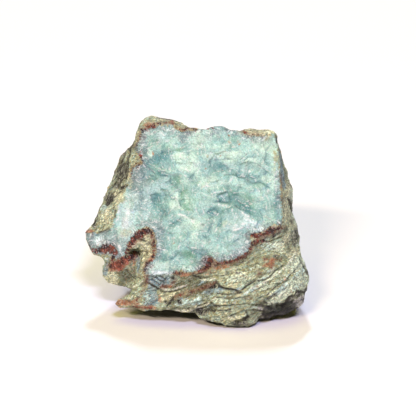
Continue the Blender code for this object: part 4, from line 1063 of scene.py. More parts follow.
    chalk: Strokes = (
        (-26.4, -1.2, 1.5, 3.0, 0.8, -8), (-25.2, 2.8, 1.1, 1.8, 0.8), (-35.2, -7.6, 1.4, 1.2, 0.9),
        (-27.4, -5.4, 1.2, 1.2, 0.7), (17.6, -0.6, 3.6, 0.5, 0.7, -30), (22.6, -5.2, 1.8, 0.8, 0.7, -30),
        (13.0, 0.8, 1.8, 0.4, 0.6, -30), (29.0, -23.8, 3.2, 0.9, 0.7, 42), (33.4, -19.4, 2.6, 0.7, 0.6, 46),
        (-33.4, 3.4, 1.4, 2.8, 0.5, -12), (-23.2, 22.2, 1.4, 2.4, 0.35, 10),
        (29.6, -20.4, 5.0, 0.8, 0.5, 42), (17.0, -25.4, 5.0, 0.6, 0.5, 30),
        (23.4, -9.6, 3.6, 1.8, 0.55, 10), (20.0, -22.6, 5.6, 0.7, 0.7, 38),
        (27.2, -24.6, 5.6, 0.8, 0.6, 40), (36.0, -18.6, 1.0, 3.4, 0.6, 6), (11.6, -27.8, 4.0, 0.5, 0.6, 6),
        (-33.4, 4.2, 1.0, 0.9, 0.6), (33.4, -23.6, 2.2, 1.0, 0.5, 40), (4.0, -29.8, 3.0, 0.5, 0.5, 26),
        (-13.6, -18.9, 4.2, 0.7, 0.9, -4), (-18.4, -27.2, 1.3, 1.9, 0.8), (-9.6, -20.6, 1.8, 1.6, 0.8),
        (-5.4, -28.9, 3.6, 1.1, 0.85, 14), (-1.0, -28.2, 2.4, 1.2, 0.85, 20),
        (0.2, -26.2, 2.6, 1.0, 0.5, 22), (-12.4, -18.5, 3.6, 0.8, 0.85, -8),
        (-15.6, -19.6, 2.0, 0.4, 0.4, -20), (-19.0, -29.6, 1.6, 0.6, 0.5), (-9.2, -19.4, 1.2, 1.2, 0.5),
        (-23.4, -29.0, 1.0, 0.4, 0.5), (-14.6, -21.2, 2.2, 0.3, 0.6, -38), (3.4, -26.8, 1.0, 0.6, 0.5, 20),
    )
    # Near-black: the rock's dark parts, and painted shade along the lower edges and underside.
    soot: Strokes = (
        (-18.4, 31.8, 1.8, 0.6, 0.6), (10.4, 31.6, 1.4, 0.5, 0.6), (-24.8, 26.4, 0.8, 1.2, 0.7, 30),
        (-26.8, 23.8, 0.6, 1.2, 0.7, 30), (-37.0, -1.6, 1.0, 1.2, 0.7), (-32.0, -3.4, 1.0, 0.8, 0.6),
        (-30.8, -8.6, 1.8, 0.6, 0.6), (-21.0, -6.2, 1.6, 0.5, 0.7, -20), (-17.2, -8.4, 0.8, 0.9, 0.6),
        (-17.0, -16.2, 0.7, 1.2, 0.9), (-24.4, -16.0, 1.0, 0.8, 0.6), (3.0, -13.6, 1.2, 1.1, 1.0),
        (0.4, -18.4, 1.6, 0.5, 0.8), (8.0, -15.0, 1.6, 0.6, 0.7, 10), (13.0, -16.4, 2.0, 0.4, 0.6, 20),
        (13.0, -18.6, 1.6, 0.5, 0.7), (-7.6, -18.6, 2.4, 0.5, 1.0), (-2.4, -18.6, 2.0, 0.4, 0.7),
        (-12.0, -23.6, 1.2, 0.7, 0.9), (-8.2, -23.6, 1.8, 0.4, 0.6, 10), (4.6, -23.4, 2.2, 0.6, 1.0, 10),
        (-12.0, -28.6, 1.2, 0.5, 0.8), (-7.0, -28.6, 1.4, 0.7, 1.0, -20), (-0.6, -31.2, 3.0, 0.8, 1.0, -6),
        (4.0, -31.6, 1.6, 0.7, 0.9), (10.4, -31.0, 1.4, 0.5, 0.7, 20), (20.2, -31.0, 2.0, 0.7, 0.8, 16),
        (11.0, -33.6, 1.8, 0.4, 0.7), (15.6, -33.8, 1.8, 0.4, 0.7), (33.2, -27.8, 1.8, 1.5, 1.0),
        (25.4, -5.4, 0.7, 1.1, 0.8), (27.6, -1.2, 0.7, 1.1, 0.6), (25.6, -12.6, 2.2, 0.4, 0.6),
        (24.6, -26.8, 2.8, 0.7, 0.6, 14), (2.2, -14.2, 1.6, 1.2, 0.8), (-9.0, -20.2, 1.4, 0.6, 0.7, -20),
        (0.8, -16.4, 2.2, 0.6, 0.6, 14), (25.4, -26.4, 2.6, 0.6, 0.5, 30), (28.4, -26.2, 2.0, 0.5, 0.5, 40),
        (0.8, -17.6, 2.0, 0.6, 0.6), (4.8, -23.6, 2.6, 0.6, 0.6, 10), (-12.2, -23.4, 1.6, 0.6, 0.6),
        (-1.6, -31.8, 2.0, 0.8, 0.6, -10), (3.6, -31.8, 2.6, 0.6, 0.6, 6), (-20.0, -7.2, 2.0, 0.5, 0.5),
        (17.6, -14.6, 3.4, 0.5, 0.6, 36), (23.6, -13.6, 2.0, 0.6, 0.6, 10), (27.2, -13.4, 1.6, 0.7, 0.6),
        (2.6, -13.8, 1.6, 1.6, 0.7), (32.6, -5.4, 1.6, 2.6, 0.5, 8), (-5.0, -30.4, 3.0, 0.5, 0.6, 4),
        (29.6, -28.2, 2.4, 0.6, 0.8, 30), (33.6, -25.8, 2.4, 0.7, 0.8, 34),
        (36.6, -24.0, 1.2, 0.6, 0.7, 50), (-3.0, -22.4, 4.0, 0.5, 0.5, 14), (2.4, -18.4, 2.4, 0.5, 0.6),
        (0.6, -20.0, 3.0, 0.5, 0.6, 6), (2.0, -23.2, 3.4, 0.5, 0.6, 14), (1.6, -25.9, 3.4, 0.4, 0.5, 20),
        (-9.6, -21.8, 1.4, 0.8, 0.6), (-12.0, -26.2, 1.2, 1.6, 0.5, 20), (15.4, -14.6, 3.2, 0.5, 0.6, 28),
        (12.4, -13.6, 3.0, 0.6, 0.6, 16), (22.4, -5.2, 1.6, 0.7, 0.6), (-30.6, -8.8, 1.4, 0.9, 0.4),
        (18.0, -8.6, 0.7, 1.2, 0.5, -30), (-18.4, -7.9, 1.6, 0.5, 0.4), (-27.0, 15.4, 1.3, 3.8, 0.85, -14),
        (-28.8, 11.8, 1.2, 1.6, 0.7), (32.6, -7.6, 1.0, 3.4, 0.6, 6), (-27.6, -23.0, 3.2, 0.8, 0.6, -14),
        (6.6, -15.0, 2.4, 0.6, 0.5, 6), (-24.4, -17.2, 1.4, 0.5, 0.6, -20), (-18.4, -15.6, 0.7, 1.6, 0.6),
        (-18.4, -19.8, 0.8, 1.0, 0.5), (20.7, -18.8, 0.9, 0.5, 0.8, 30), (-9.0, -19.9, 1.2, 1.0, 0.4),
        (-9.2, -20.0, 0.8, 1.2, 0.5), (3.2, -14.2, 1.8, 1.4, 0.7), (-26.0, -25.6, 3.0, 0.5, 0.6, -20),
        (21.0, -28.9, 3.0, 0.5, 0.8, 6), (6.0, -17.4, 3.0, 0.4, 0.5, 8), (-8.6, -21.8, 1.8, 0.5, 0.6, 30),
        (30.4, -29.0, 1.6, 0.8, 0.6), (9.0, -14.8, 3.0, 1.0, 0.8),
        (14.8, -13.2, 2.6, 1.2, 0.8, 32), (3.4, -23.4, 2.6, 0.9, 0.8, 14), (-18.6, -16.6, 1.0, 2.2, 0.6),
        (-36.4, 2.4, 0.6, 4.4, 0.8, 22), (-29.6, 2.0, 0.4, 2.6, 0.7, -8), (-33.4, -4.2, 3.6, 0.4, 0.7, 12),
        (-25.6, 17.4, 0.5, 3.0, 0.8, -6), (4.6, -15.4, 3.2, 1.2, 0.7), (10.6, -14.4, 5.0, 0.7, 0.8, 8),
        (16.4, -12.0, 2.4, 0.8, 0.6, 45), (27.0, -4.8, 2.4, 0.8, 0.7, 30), (22.6, -6.0, 2.6, 0.7, 0.5, -6),
        (-36.2, -12.6, 2.6, 0.9, 0.5, -30), (25.0, -32.3, 2.8, 1.7, 1.0, 5),
        (28.2, -31.8, 2.8, 1.6, 1.0, 10), (31.2, -30.6, 2.6, 1.6, 1.0, 20),
        (34.2, -28.6, 2.6, 1.5, 1.0, 38), (36.8, -25.5, 1.8, 0.9, 1.0, 55), (37.6, -17.4, 0.5, 4.6, 0.8, 6),
        (15.8, -35.2, 1.0, 1.6, 0.8, -20), (0.6, -32.6, 2.2, 0.9, 0.9, -28), (-34.6, -10.4, 2.6, 1.4, 0.45),
        (2.2, -14.6, 2.4, 1.8, 0.75), (12.8, -12.6, 3.0, 0.8, 0.4, 18), (-2.6, -10.6, 2.0, 0.6, 0.35, -24),
        (-27.4, 21.0, 1.4, 5.4, 0.65, -24), (-29.2, 15.4, 1.6, 4.4, 0.7, -20),
        (-26.4, 17.6, 1.0, 3.4, 0.6, -10), (-31.6, 10.8, 1.2, 2.4, 0.6, -20),
        (-26.5, 11.4, 1.5, 0.8, 1.0, 35), (-31.8, 7.0, 1.8, 2.0, 1.0, 20), (-30.6, 8.8, 0.9, 0.8, 0.6),
        (-36.8, -1.0, 0.8, 2.2, 1.0, 8), (-22.6, -11.4, 1.7, 0.8, 1.0, 10), (-21.0, -12.0, 0.6, 0.8, 0.8),
        (-11.0, 35.2, 3.6, 0.4, 0.9, -8), (31.6, 5.0, 0.6, 2.6, 0.9, 12), (31.6, -0.8, 0.9, 1.0, 0.7),
        (33.6, -5.4, 0.9, 3.0, 0.6, 8), (35.2, -27.8, 3.6, 1.9, 1.0, 46), (25.0, -31.5, 5.0, 1.3, 1.0, 6),
        (30.4, -30.1, 3.6, 1.6, 1.0, 24), (14.0, -36.3, 4.4, 0.8, 0.9), (16.8, -33.8, 0.9, 1.6, 0.8),
        (13.4, -35.5, 2.4, 0.5, 0.6, 4), (21.6, -33.0, 2.4, 0.7, 0.8, 50), (4.4, -35.4, 4.4, 0.5, 0.8, -16),
        (-10.3, -28.6, 0.6, 1.8, 0.9, -38), (9.8, -24.2, 3.4, 0.4, 0.7, -12),
        (22.0, -29.7, 2.8, 0.35, 0.9, 4), (5.6, -22.4, 1.2, 0.9, 0.7), (-1.4, -32.4, 0.8, 0.9, 0.8),
        (26.8, 29.0, 0.4, 1.0, 0.5, 10), (-24.2, 25.6, 2.0, 0.9, 0.7, 42),
        (-16.4, -23.2, 2.8, 0.5, 0.8, -34), (-34.2, -17.4, 0.6, 1.0, 0.8), (-32.0, -11.2, 1.6, 1.2, 0.4),
        (2.4, -15.4, 1.6, 1.2, 0.6), (3.2, -13.4, 1.0, 0.8, 0.5), (-1.6, -19.4, 1.8, 0.5, 0.5),
        (29.6, -8.6, 0.6, 1.8, 0.5), (-38.4, -10.0, 1.0, 0.5, 0.3, -40),
    )
    rust: Strokes = (
        (25.4, -14.2, 1.8, 1.0, 0.6), (-26.4, -20.2, 2.6, 0.7, 0.35, -16), (-22.8, -18.4, 1.6, 1.2, 0.3),
        (-28.2, -15.6, 3.4, 1.7, 1.0, 20), (-23.6, -12.6, 1.6, 1.0, 0.7, 40), (-19.8, -30.0, 3.0, 0.6, 0.7),
        (-34.4, -11.0, 2.4, 0.8, 0.6, -10), (-16.8, -13.6, 0.8, 1.6, 0.6, -40), (20.6, -5.0, 1.6, 0.6, 0.6),
        (-17.8, 33.0, 2.6, 1.1, 0.6, 10), (-26.0, -28.9, 4.0, 1.0, 0.8, 6), (7.4, -16.5, 3.4, 0.9, 0.95, 4),
        (12.0, -15.4, 1.6, 0.5, 0.5, 10), (-5.4, -19.2, 2.4, 0.7, 0.8), (2.6, -18.6, 3.4, 0.6, 0.6, 4),
        (24.2, -15.8, 2.4, 1.3, 0.75), (-23.2, -15.2, 1.0, 1.8, 0.7), (-30.4, -17.6, 1.2, 0.5, 0.6),
        (-14.2, -27.4, 0.7, 1.6, 0.7, 14), (-18.4, -30.5, 4.0, 0.6, 0.8), (-26.4, -28.9, 3.0, 0.8, 0.7, 6),
        (-38.8, -4.0, 1.6, 0.7, 0.9), (17.6, -10.2, 1.2, 0.7, 0.5, 50), (-11.2, -23.4, 1.6, 0.6, 0.9),
        (-16.5, 23.3, 0.35, 0.7, 1.0), (10.1, 29.4, 0.5, 0.35, 0.9), (10.3, 27.4, 0.6, 0.5, 0.7),
        (13.2, 27.6, 0.4, 0.4, 0.6), (13.8, 26.7, 0.4, 0.4, 0.8), (2.0, 17.8, 0.4, 0.4, 0.8),
        (7.2, 22.1, 0.4, 0.4, 0.7), (-9.0, -8.2, 0.5, 0.3, 0.7), (11.8, 25.6, 0.6, 0.4, 0.4),
        (-22.2, -29.4, 1.2, 0.4, 0.6), (-10.0, 33.9, 1.4, 0.5, 0.7), (15.6, 30.6, 1.2, 0.6, 0.7, -20),
        (-31.4, 5.0, 1.0, 1.6, 0.3), (25.2, 29.0, 0.8, 0.5, 0.3), (-3.6, -24.4, 3.6, 0.3, 0.5, 16),
        (29.4, -21.0, 1.6, 0.4, 0.5, 40),
    )
    cracks: Scratches = Scratches((
        (0.22, (-19.9, 19.8), (-18.3, 18.4), (-16.2, 16.6)),
        (0.2, (-15.3, 16.9), (-12.4, 16.9), (-10.4, 15.7), (-8.6, 16.0), (-7.2, 16.1)),
        (0.12, (-13.6, 15.2), (-10.6, 15.5)), (0.15, (-9.6, 21.3), (-8.4, 21.0), (-6.4, 21.3)),
        (0.12, (-3.9, 16.3), (-2.2, 15.5), (-0.8, 13.4), (-1.4, 12.0)),
        (0.24, (3.4, 20.1), (6.0, 20.9), (8.6, 21.1), (10.4, 20.8)),
        (0.12, (8.4, 19.1), (9.6, 18.2), (10.0, 16.8)),
        (0.2, (8.6, 15.9), (10.4, 16.1), (13.0, 15.3), (15.6, 14.9)),
        (0.15, (14.1, 21.1), (15.6, 22.4), (16.8, 23.3)), (0.12, (15.2, 20.7), (16.8, 22.0), (19.2, 21.8)),
        (0.15, (16.0, 18.7), (17.6, 19.6), (20.6, 19.6)),
        (0.18, (16.4, 14.3), (18.4, 12.9), (21.2, 13.2), (24.6, 11.3)),
        (0.12, (20.6, 19.0), (22.8, 17.4), (24.6, 15.6)), (0.26, (5.4, 6.4), (7.4, 6.4), (9.7, 6.5)),
        (0.15, (6.0, 8.1), (8.2, 9.2)), (0.2, (10.4, 7.8), (10.6, 6.4)), (0.3, (12.6, 5.2), (14.1, 3.6)),
        (0.15, (13.6, 6.6), (15.6, 4.9)), (0.12, (17.2, 0.9), (18.4, 0.4)),
        (0.12, (20.4, -1.5), (22.3, -2.0)), (0.2, (3.2, 3.0), (5.2, 3.8), (6.4, 2.6)),
        (0.15, (3.4, 0.6), (4.6, 1.4)), (0.2, (7.2, 0.2), (7.4, -1.6)),
        (0.13, (-12.9, 9.2), (-11.9, 8.4), (-12.6, 7.2), (-13.3, 8.0)),
        (0.13, (-11.0, 9.4), (-10.4, 8.0), (-9.2, 7.2), (-8.5, 7.7), (-9.3, 8.5), (-10.6, 8.7)),
        (0.15, (-9.8, 12.8), (-8.0, 10.8), (-7.6, 12.4)), (0.2, (-12.6, 3.6), (-12.1, 1.2)),
        (0.12, (-11.0, -2.2), (-9.2, -2.2)), (0.15, (-9.6, -1.2), (-7.0, 0.2)),
        (0.24, (-4.4, -9.7), (-2.2, -10.6), (0.6, -12.6)),
        (0.15, (-14.6, -12.3), (-12.2, -14.3), (-9.2, -13.6), (-7.3, -11.2)),
        (0.2, (0.8, -1.5), (1.4, -1.8)), (0.2, (1.2, -5.6), (2.2, -6.4)),
        (0.35, (-24.4, 24.2), (-25.1, 20.5), (-25.0, 17.5), (-25.7, 14.5)),
        (0.3, (-26.5, 22.0), (-27.5, 19.5), (-28.6, 17.6), (-29.6, 14.6), (-31.0, 13.0)),
        (0.35, (-28.2, 17.4), (-27.2, 18.8), (-26.2, 19.8)),
        (0.3, (-30.4, 16.2), (-29.0, 18.4), (-28.2, 21.0)),
        (0.3, (-32.0, 10.4), (-30.2, 11.6), (-28.6, 14.4), (-27.6, 16.4)),
        (0.5, (-27.2, 10.9), (-26.4, 11.4), (-25.8, 12.0)),
        (0.2, (-30.0, 7.8), (-28.6, 8.8), (-27.0, 10.2)), (0.5, (-32.6, 5.2), (-31.0, 6.4), (-30.6, 8.4)),
        (0.25, (-34.8, 4.6), (-36.0, 2.0), (-37.0, -0.6), (-37.2, -2.6)),
        (0.3, (-35.0, -4.4), (-33.0, -3.8), (-31.2, -2.6)),
        (0.25, (-24.6, -8.6), (-22.8, -6.8), (-20.8, -6.6), (-19.2, -7.3)),
        (0.2, (-20.2, -10.8), (-19.0, -11.0), (-18.0, -11.8)), (0.15, (-18.5, -12.2), (-17.0, -13.0)),
        (0.2, (-25.5, -17.5), (-24.0, -19.3), (-22.4, -20.6)),
        (0.2, (-24.6, -20.2), (-22.8, -19.6), (-21.0, -20.4)),
        (0.3, (-18.7, -21.6), (-16.4, -23.0), (-13.4, -24.6)),
        (0.2, (-18.2, -19.4), (-15.0, -19.3), (-12.0, -20.4)), (0.15, (-17.0, -20.6), (-14.6, -22.2)),
        (0.15, (-15.6, -20.0), (-12.8, -21.8)),
        (0.25, (-13.8, -25.0), (-10.5, -25.1), (-8.0, -24.7), (-5.2, -23.6)),
        (0.4, (-9.2, -27.2), (-10.0, -28.4), (-11.4, -29.8)),
        (0.2, (-2.2, -19.4), (0.0, -20.2), (1.2, -20.8)), (0.3, (-3.8, -21.5), (-3.4, -21.7)),
        (0.45, (4.6, -22.6), (5.8, -21.6), (7.2, -23.2), (9.4, -24.1), (11.0, -24.0), (13.2, -24.8)),
        (0.3, (2.4, -26.5), (2.7, -26.7)), (0.3, (4.0, -28.6), (5.6, -30.0), (7.0, -30.2)),
        (0.35, (18.6, -29.6), (21.0, -29.9), (24.6, -29.3)),
        (0.28, (14.8, -24.2), (17.0, -22.6), (19.4, -21.2), (22.4, -21.0), (24.4, -20.0)),
        (0.28, (24.4, -20.0), (26.4, -17.6), (28.8, -16.2)),
        (0.2, (25.5, -22.4), (28.0, -22.4), (31.2, -20.8)),
        (0.2, (20.6, -27.2), (23.6, -26.0), (25.6, -24.2), (27.4, -22.6)),
        (0.2, (18.0, -25.2), (21.0, -23.8), (23.4, -22.8)),
        (0.3, (21.0, -7.3), (24.6, -7.4), (26.4, -6.6), (29.0, -5.6)),
        (0.25, (20.2, -34.4), (21.6, -32.2), (24.4, -30.4)),
        (0.3, (15.4, -31.4), (16.6, -32.6), (16.4, -34.2), (12.4, -35.3)),
        (0.2, (11.0, -33.6), (13.6, -32.4), (15.4, -31.6), (19.6, -31.2)),
        (0.35, (28.8, -29.2), (31.2, -26.8), (33.0, -26.4), (33.6, -24.6), (36.4, -25.4)),
        (0.2, (19.5, -9.5), (21.5, -8.4)), (0.35, (30.6, 7.6), (31.4, 5.4), (32.0, 3.0)),
        (0.25, (6.0, -25.6), (9.6, -26.0), (14.6, -25.4)),
        (0.2, (6.0, -27.0), (12.0, -27.6), (17.4, -26.4)),
        (0.25, (5.4, -29.8), (10.0, -30.0), (15.6, -29.2)),
        (0.2, (4.6, -31.8), (8.0, -31.4), (11.0, -31.8)),
        (0.25, (-14.2, 35.3), (-11.0, 35.0), (-8.0, 34.5)), (0.25, (26.2, 29.6), (27.0, 27.0)),
        (0.15, (-21.6, 31.0), (-20.6, 34.6), (-18.6, 36.0)),
        (0.3, (34.8, -14.0), (36.4, -16.6), (37.4, -19.0)), (0.2, (30.6, -20.4), (33.0, -17.6)),
    ))
    gleams: Scratches = Scratches((
        (0.22, (-8.6, 28.5), (-7.2, 30.2)), (0.3, (-12.6, 29.6), (-13.6, 30.6)),
        (0.15, (1.5, 29.0), (4.5, 26.6), (7.6, 25.0)), (0.18, (0.5, 26.5), (2.2, 25.2), (4.3, 23.0)),
        (0.18, (-4.5, 28.5), (-2.4, 25.2)), (0.15, (-17.8, 19.9), (-15.0, 18.2), (-12.8, 17.2)),
        (0.15, (-13.5, 18.8), (-10.5, 16.9)), (0.28, (-10.2, 22.6), (-8.3, 22.9), (-5.6, 21.6)),
        (0.25, (-6.0, 19.0), (-3.4, 16.4)), (0.2, (10.2, 15.3), (12.6, 14.8)),
        (0.15, (9.6, 17.6), (11.6, 16.9)), (0.15, (16.4, 16.2), (19.6, 14.7)),
        (0.2, (21.4, 14.2), (24.9, 12.2)), (0.25, (16.8, 20.9), (19.0, 20.6)),
        (0.3, (17.0, 17.2), (18.6, 17.2)), (0.25, (-0.6, 12.3), (0.9, 13.6)),
        (0.25, (4.0, 15.4), (5.2, 15.1)), (0.2, (2.4, 12.8), (2.7, 11.4)),
        (0.15, (4.2, 9.3), (6.8, 10.0), (9.2, 10.3)), (0.18, (5.0, 7.0), (6.6, 7.9), (8.4, 8.6)),
        (0.13, (10.9, 8.8), (13.6, 6.9), (16.6, 4.7)), (0.15, (12.2, 5.6), (14.2, 4.6)),
        (0.25, (6.3, 5.4), (8.5, 5.0), (12.2, 4.6)),
        (0.25, (12.2, 4.5), (14.5, 2.6), (17.2, 1.0), (19.6, -0.6), (21.0, -1.6)),
        (0.5, (14.6, -1.2), (17.0, -1.4)), (0.3, (12.4, -3.2), (16.0, -2.6), (20.6, -3.4)),
        (0.15, (5.6, 1.4), (6.6, 2.4)), (0.15, (4.6, -0.4), (4.2, -2.2)), (0.15, (6.6, 0.8), (7.8, -0.2)),
        (0.2, (8.0, -2.4), (9.6, -1.0)), (0.28, (-7.6, 2.0), (-5.4, 1.4), (-3.4, 0.2)),
        (0.35, (-8.2, 10.4), (-8.3, 7.0), (-7.2, 4.2)), (0.2, (-5.6, -7.0), (-5.1, -9.0)),
        (0.2, (-4.2, -9.2), (-1.5, -9.9), (1.5, -11.9)), (0.35, (1.0, -8.1), (2.0, -7.6)),
        (0.2, (7.6, -8.3), (9.1, -9.5)), (0.2, (8.6, -7.9), (10.2, -6.8), (11.9, -5.6)),
        (0.15, (-2.6, -6.0), (-2.4, -8.6)), (0.22, (-3.0, -0.5), (-2.1, -3.0)),
        (0.25, (-2.0, -4.5), (-0.6, -5.2)), (0.2, (-14.9, -6.0), (-14.4, -9.0), (-13.6, -11.2)),
        (0.12, (-14.6, -9.9), (-12.4, -10.6)), (0.15, (-12.6, -9.6), (-11.4, -10.9)),
        (0.2, (-17.2, -15.0), (-15.4, -13.6)), (0.2, (-18.6, -16.4), (-16.2, -16.8)),
        (0.2, (10.0, -13.0), (11.4, -11.4)), (0.15, (20.4, 9.4), (21.6, 11.0)),
        (0.15, (22.4, 8.2), (23.8, 9.6)), (0.15, (18.4, 10.4), (19.4, 11.6)),
        (0.15, (21.4, 6.6), (22.4, 7.2)), (0.15, (15.6, 26.4), (17.6, 25.2)),
        (0.15, (19.6, 24.4), (20.6, 23.2)),
        (0.35, (-13.2, -24.2), (-10.5, -24.6), (-8.0, -24.1), (-4.6, -23.0)),
        (0.3, (-11.6, -30.4), (-9.0, -31.0), (-6.0, -31.4), (-3.0, -31.2), (-0.6, -30.4)),
        (0.3, (-0.6, -30.4), (2.2, -29.4), (4.0, -28.2), (5.6, -27.2)),
        (0.3, (17.5, -24.6), (20.0, -23.2), (23.4, -21.4), (26.0, -19.4)),
        (0.3, (-19.4, 34.2), (-17.4, 35.8), (-14.0, 35.4), (-9.0, 34.4)),
        (0.25, (-21.9, 25.2), (-20.4, 22.8), (-19.9, 20.6)),
        (0.28, (-28.2, 5.0), (-28.6, 1.3), (-30.2, -2.2), (-32.6, -3.8), (-34.6, -4.2), (-36.6, -2.4)),
        (0.24, (-20.0, 19.3), (-17.4, 17.6), (-15.6, 16.6)),
        (0.2, (-14.6, 17.2), (-12.6, 16.2), (-10.5, 15.7), (-7.2, 16.0)),
        (0.2, (-12.2, 7.6), (-11.4, 9.2), (-10.2, 8.6), (-9.6, 7.4)),
        (0.2, (-10.4, 9.6), (-9.2, 8.9), (-8.9, 8.0), (-9.6, 7.4)),
        (0.25, (-32.0, -21.4), (-29.6, -22.2), (-26.0, -22.8), (-23.8, -23.6)),
        (1.2, (21.4, -32.8), (24.5, -31.8), (29.0, -31.4), (32.5, -29.8), (35.4, -28.2)),
        (0.7, (29.0, -31.2), (32.6, -28.2), (35.2, -26.6)),
        (0.5, (19.6, -30.6), (22.4, -29.7), (25.6, -29.6)),
        (0.2, (-25.8, -26.4), (-22.4, -23.4), (-19.6, -21.2)),
        (0.3, (0.2, -21.1), (2.6, -20.8), (5.4, -20.6)),
        (0.25, (-23.6, -9.0), (-21.6, -7.6), (-19.4, -8.4), (-17.6, -10.4)),
        (0.25, (26.6, -27.6), (29.0, -25.0), (31.6, -23.6)),
        (0.25, (27.4, -18.6), (31.0, -15.4), (33.0, -12.0)),
        (0.2, (-21.8, -28.0), (-24.6, -27.6), (-28.2, -28.2)), (0.2, (19.4, -31.0), (22.6, -30.4)),
    ))
    bend_size: float = 2.4
    bend_reach: float = 0.5

    def lay_on(self, skin: Skin, stone: StoneMesh) -> None:
        """Stores every colour layer on the mesh.

        Args:
            skin: the surface before the fine relief.
            stone: the mesh that takes the layers.
        """
        seeds = (Seed.PAINT_BEND_ACROSS, Seed.PAINT_BEND_UP)
        bent = skin.bent(seeds, self.bend_size, self.bend_reach)
        for tone in Tone:
            stone.store(tone.value, layer(getattr(self, tone.value), bent) * skin.facing)


def linear(red: float, green: float, blue: float) -> tuple[float, float, float, float]:
    """A colour as it looks on a screen, from 0 to 255, as the shader's own, by the sRGB curve."""
    parts = [value / 255 for value in (red, green, blue)]
    return (*(p / 12.92 if p <= 0.04045 else ((p + 0.055) / 1.055) ** 2.4 for p in parts), 1.0)


@dataclass(frozen=True)
class Cloud:
    """Noise over the stone: its scale, finer octaves, turn, stretch and bend.

    The scale is waves per millimetre, or per step of the other places that it is read at. The turn, in
    degrees, counts only where there is a stretch.
    """

    scale: float
    detail: float = 3.0
    turn: float = 0.0
    stretch: float = 1.0
    bend: float = 0.0


@dataclass(frozen=True)
class Edge:
    """Where a value starts to show, where it is full, how strongly, and how far noise moves that."""

    start: float
    full: float
    share: float = 1.0
    ragged: float = 0.0


@dataclass(frozen=True)
class Speckle:
    """A pattern that shows where its noise passes an edge."""

    cloud: Cloud
    edge: Edge


@dataclass(frozen=True)
class LarimarFinish:
    """The blue-green infill: its colours, as they look on a screen, and its patterns."""

    body: Tint = (170, 210, 199)
    cool: Tint = (151, 197, 191)
    deep: Tint = (91, 146, 146)
    pale: Tint = (199, 232, 215)
    ice: Tint = (189, 220, 218)
    snow: Tint = (228, 242, 243)
    sage: Tint = (125, 175, 153)
    mist: Tint = (122, 148, 148)
    straw: Tint = (184, 189, 143)
    rust: Tint = (172, 126, 86)
    # Near-black, for the strokes that also paint shade on the lower basalt.
    soot: Tint = (60, 65, 63)
    white: Tint = (244, 242, 242)
    crack: Tint = (80, 117, 118)
    shade: Tint = (106, 101, 107)
    roughness: float = 0.34
    clouds: Speckle = Speckle(Cloud(0.20, 4.0, bend=1.0), Edge(0.38, 0.62))
    grain: Cloud = Cloud(0.9, 5.0)
    strokes: Edge = Edge(0.04, 0.96, ragged=1.5)
    veil: Speckle = Speckle(Cloud(0.35, 5.0), Edge(0.50, 0.66, 0.4))
    patch_shade: Span = (0.88, 1.06)
    sugar: Speckle = Speckle(Cloud(2.4), Edge(0.3, 0.7))
    sugar_dark: Span = (0.73, 0.62)
    sugar_light: Span = (1.23, 1.36)
    frost: Edge = Edge(0.54, 0.68, 0.5)
    vein: Edge = Edge(0.44, 0.30, 0.55)
    flecks: Speckle = Speckle(Cloud(1.9, 2.0), Edge(0.62, 0.70, 0.8))
    fleck_patches: Speckle = Speckle(Cloud(0.25, 2.0), Edge(0.36, 0.62))
    specks: Speckle = Speckle(Cloud(2.1, 2.0), Edge(0.69, 0.74, 0.6))
    gleam: Edge = Edge(-0.15, 0.25, 0.6, ragged=1.6)
    gleam_patches: Speckle = Speckle(Cloud(0.9), Edge(0.44, 0.58))
    split: Edge = Edge(-0.15, 0.25, 0.7, ragged=1.4)
    # Darker in hollows: partly the infill's deeper colour, partly painted shade.
    sunk: Edge = Edge(0.0, 0.12)
    hollow_painted_shade: Span = (1.0, 0.92)
    hair_reach: Edge = Edge(-2.4, -0.2)
    hair_patches: Speckle = Speckle(Cloud(0.4), Edge(0.34, 0.6))
    belt: Edge = Edge(-4.4, -1.0, ragged=3.0)
    grit: Speckle = Speckle(Cloud(1.9, 2.0), Edge(0.55, 0.60, 0.7))
    crumbs: Speckle = Speckle(Cloud(1.7, 2.0), Edge(0.42, 0.37, 0.45))
    dark_hair: Edge = Edge(0.54, 0.44, 0.8)
    white_hair: Edge = Edge(0.52, 0.62, 0.7)


@dataclass(frozen=True)
class RindFinish:
    """The rind's colours and patterns."""

    dark: Tint = (42, 25, 26)
    bright: Tint = (115, 57, 43)
    pale: Tint = (171, 157, 156)
    brick: Tint = (151, 83, 62)
    stain: Tint = (150, 102, 74)
    roughness: float = 0.6
    patches: Speckle = Speckle(Cloud(0.6, 6.0, bend=0.6), Edge(0.46, 0.58))
    brick_grain: Cloud = Cloud(0.9, 5.0)
    bricked: Edge = Edge(0.2, 0.8, 0.85, ragged=3.0)
    brick_patches: Speckle = Speckle(Cloud(0.9, 4.0), Edge(0.36, 0.50))
    frost: Speckle = Speckle(Cloud(1.8), Edge(0.56, 0.66, 0.7))
    hair: Edge = Edge(0.42, 0.60)
    hair_shade: Span = (0.42, 1.5)


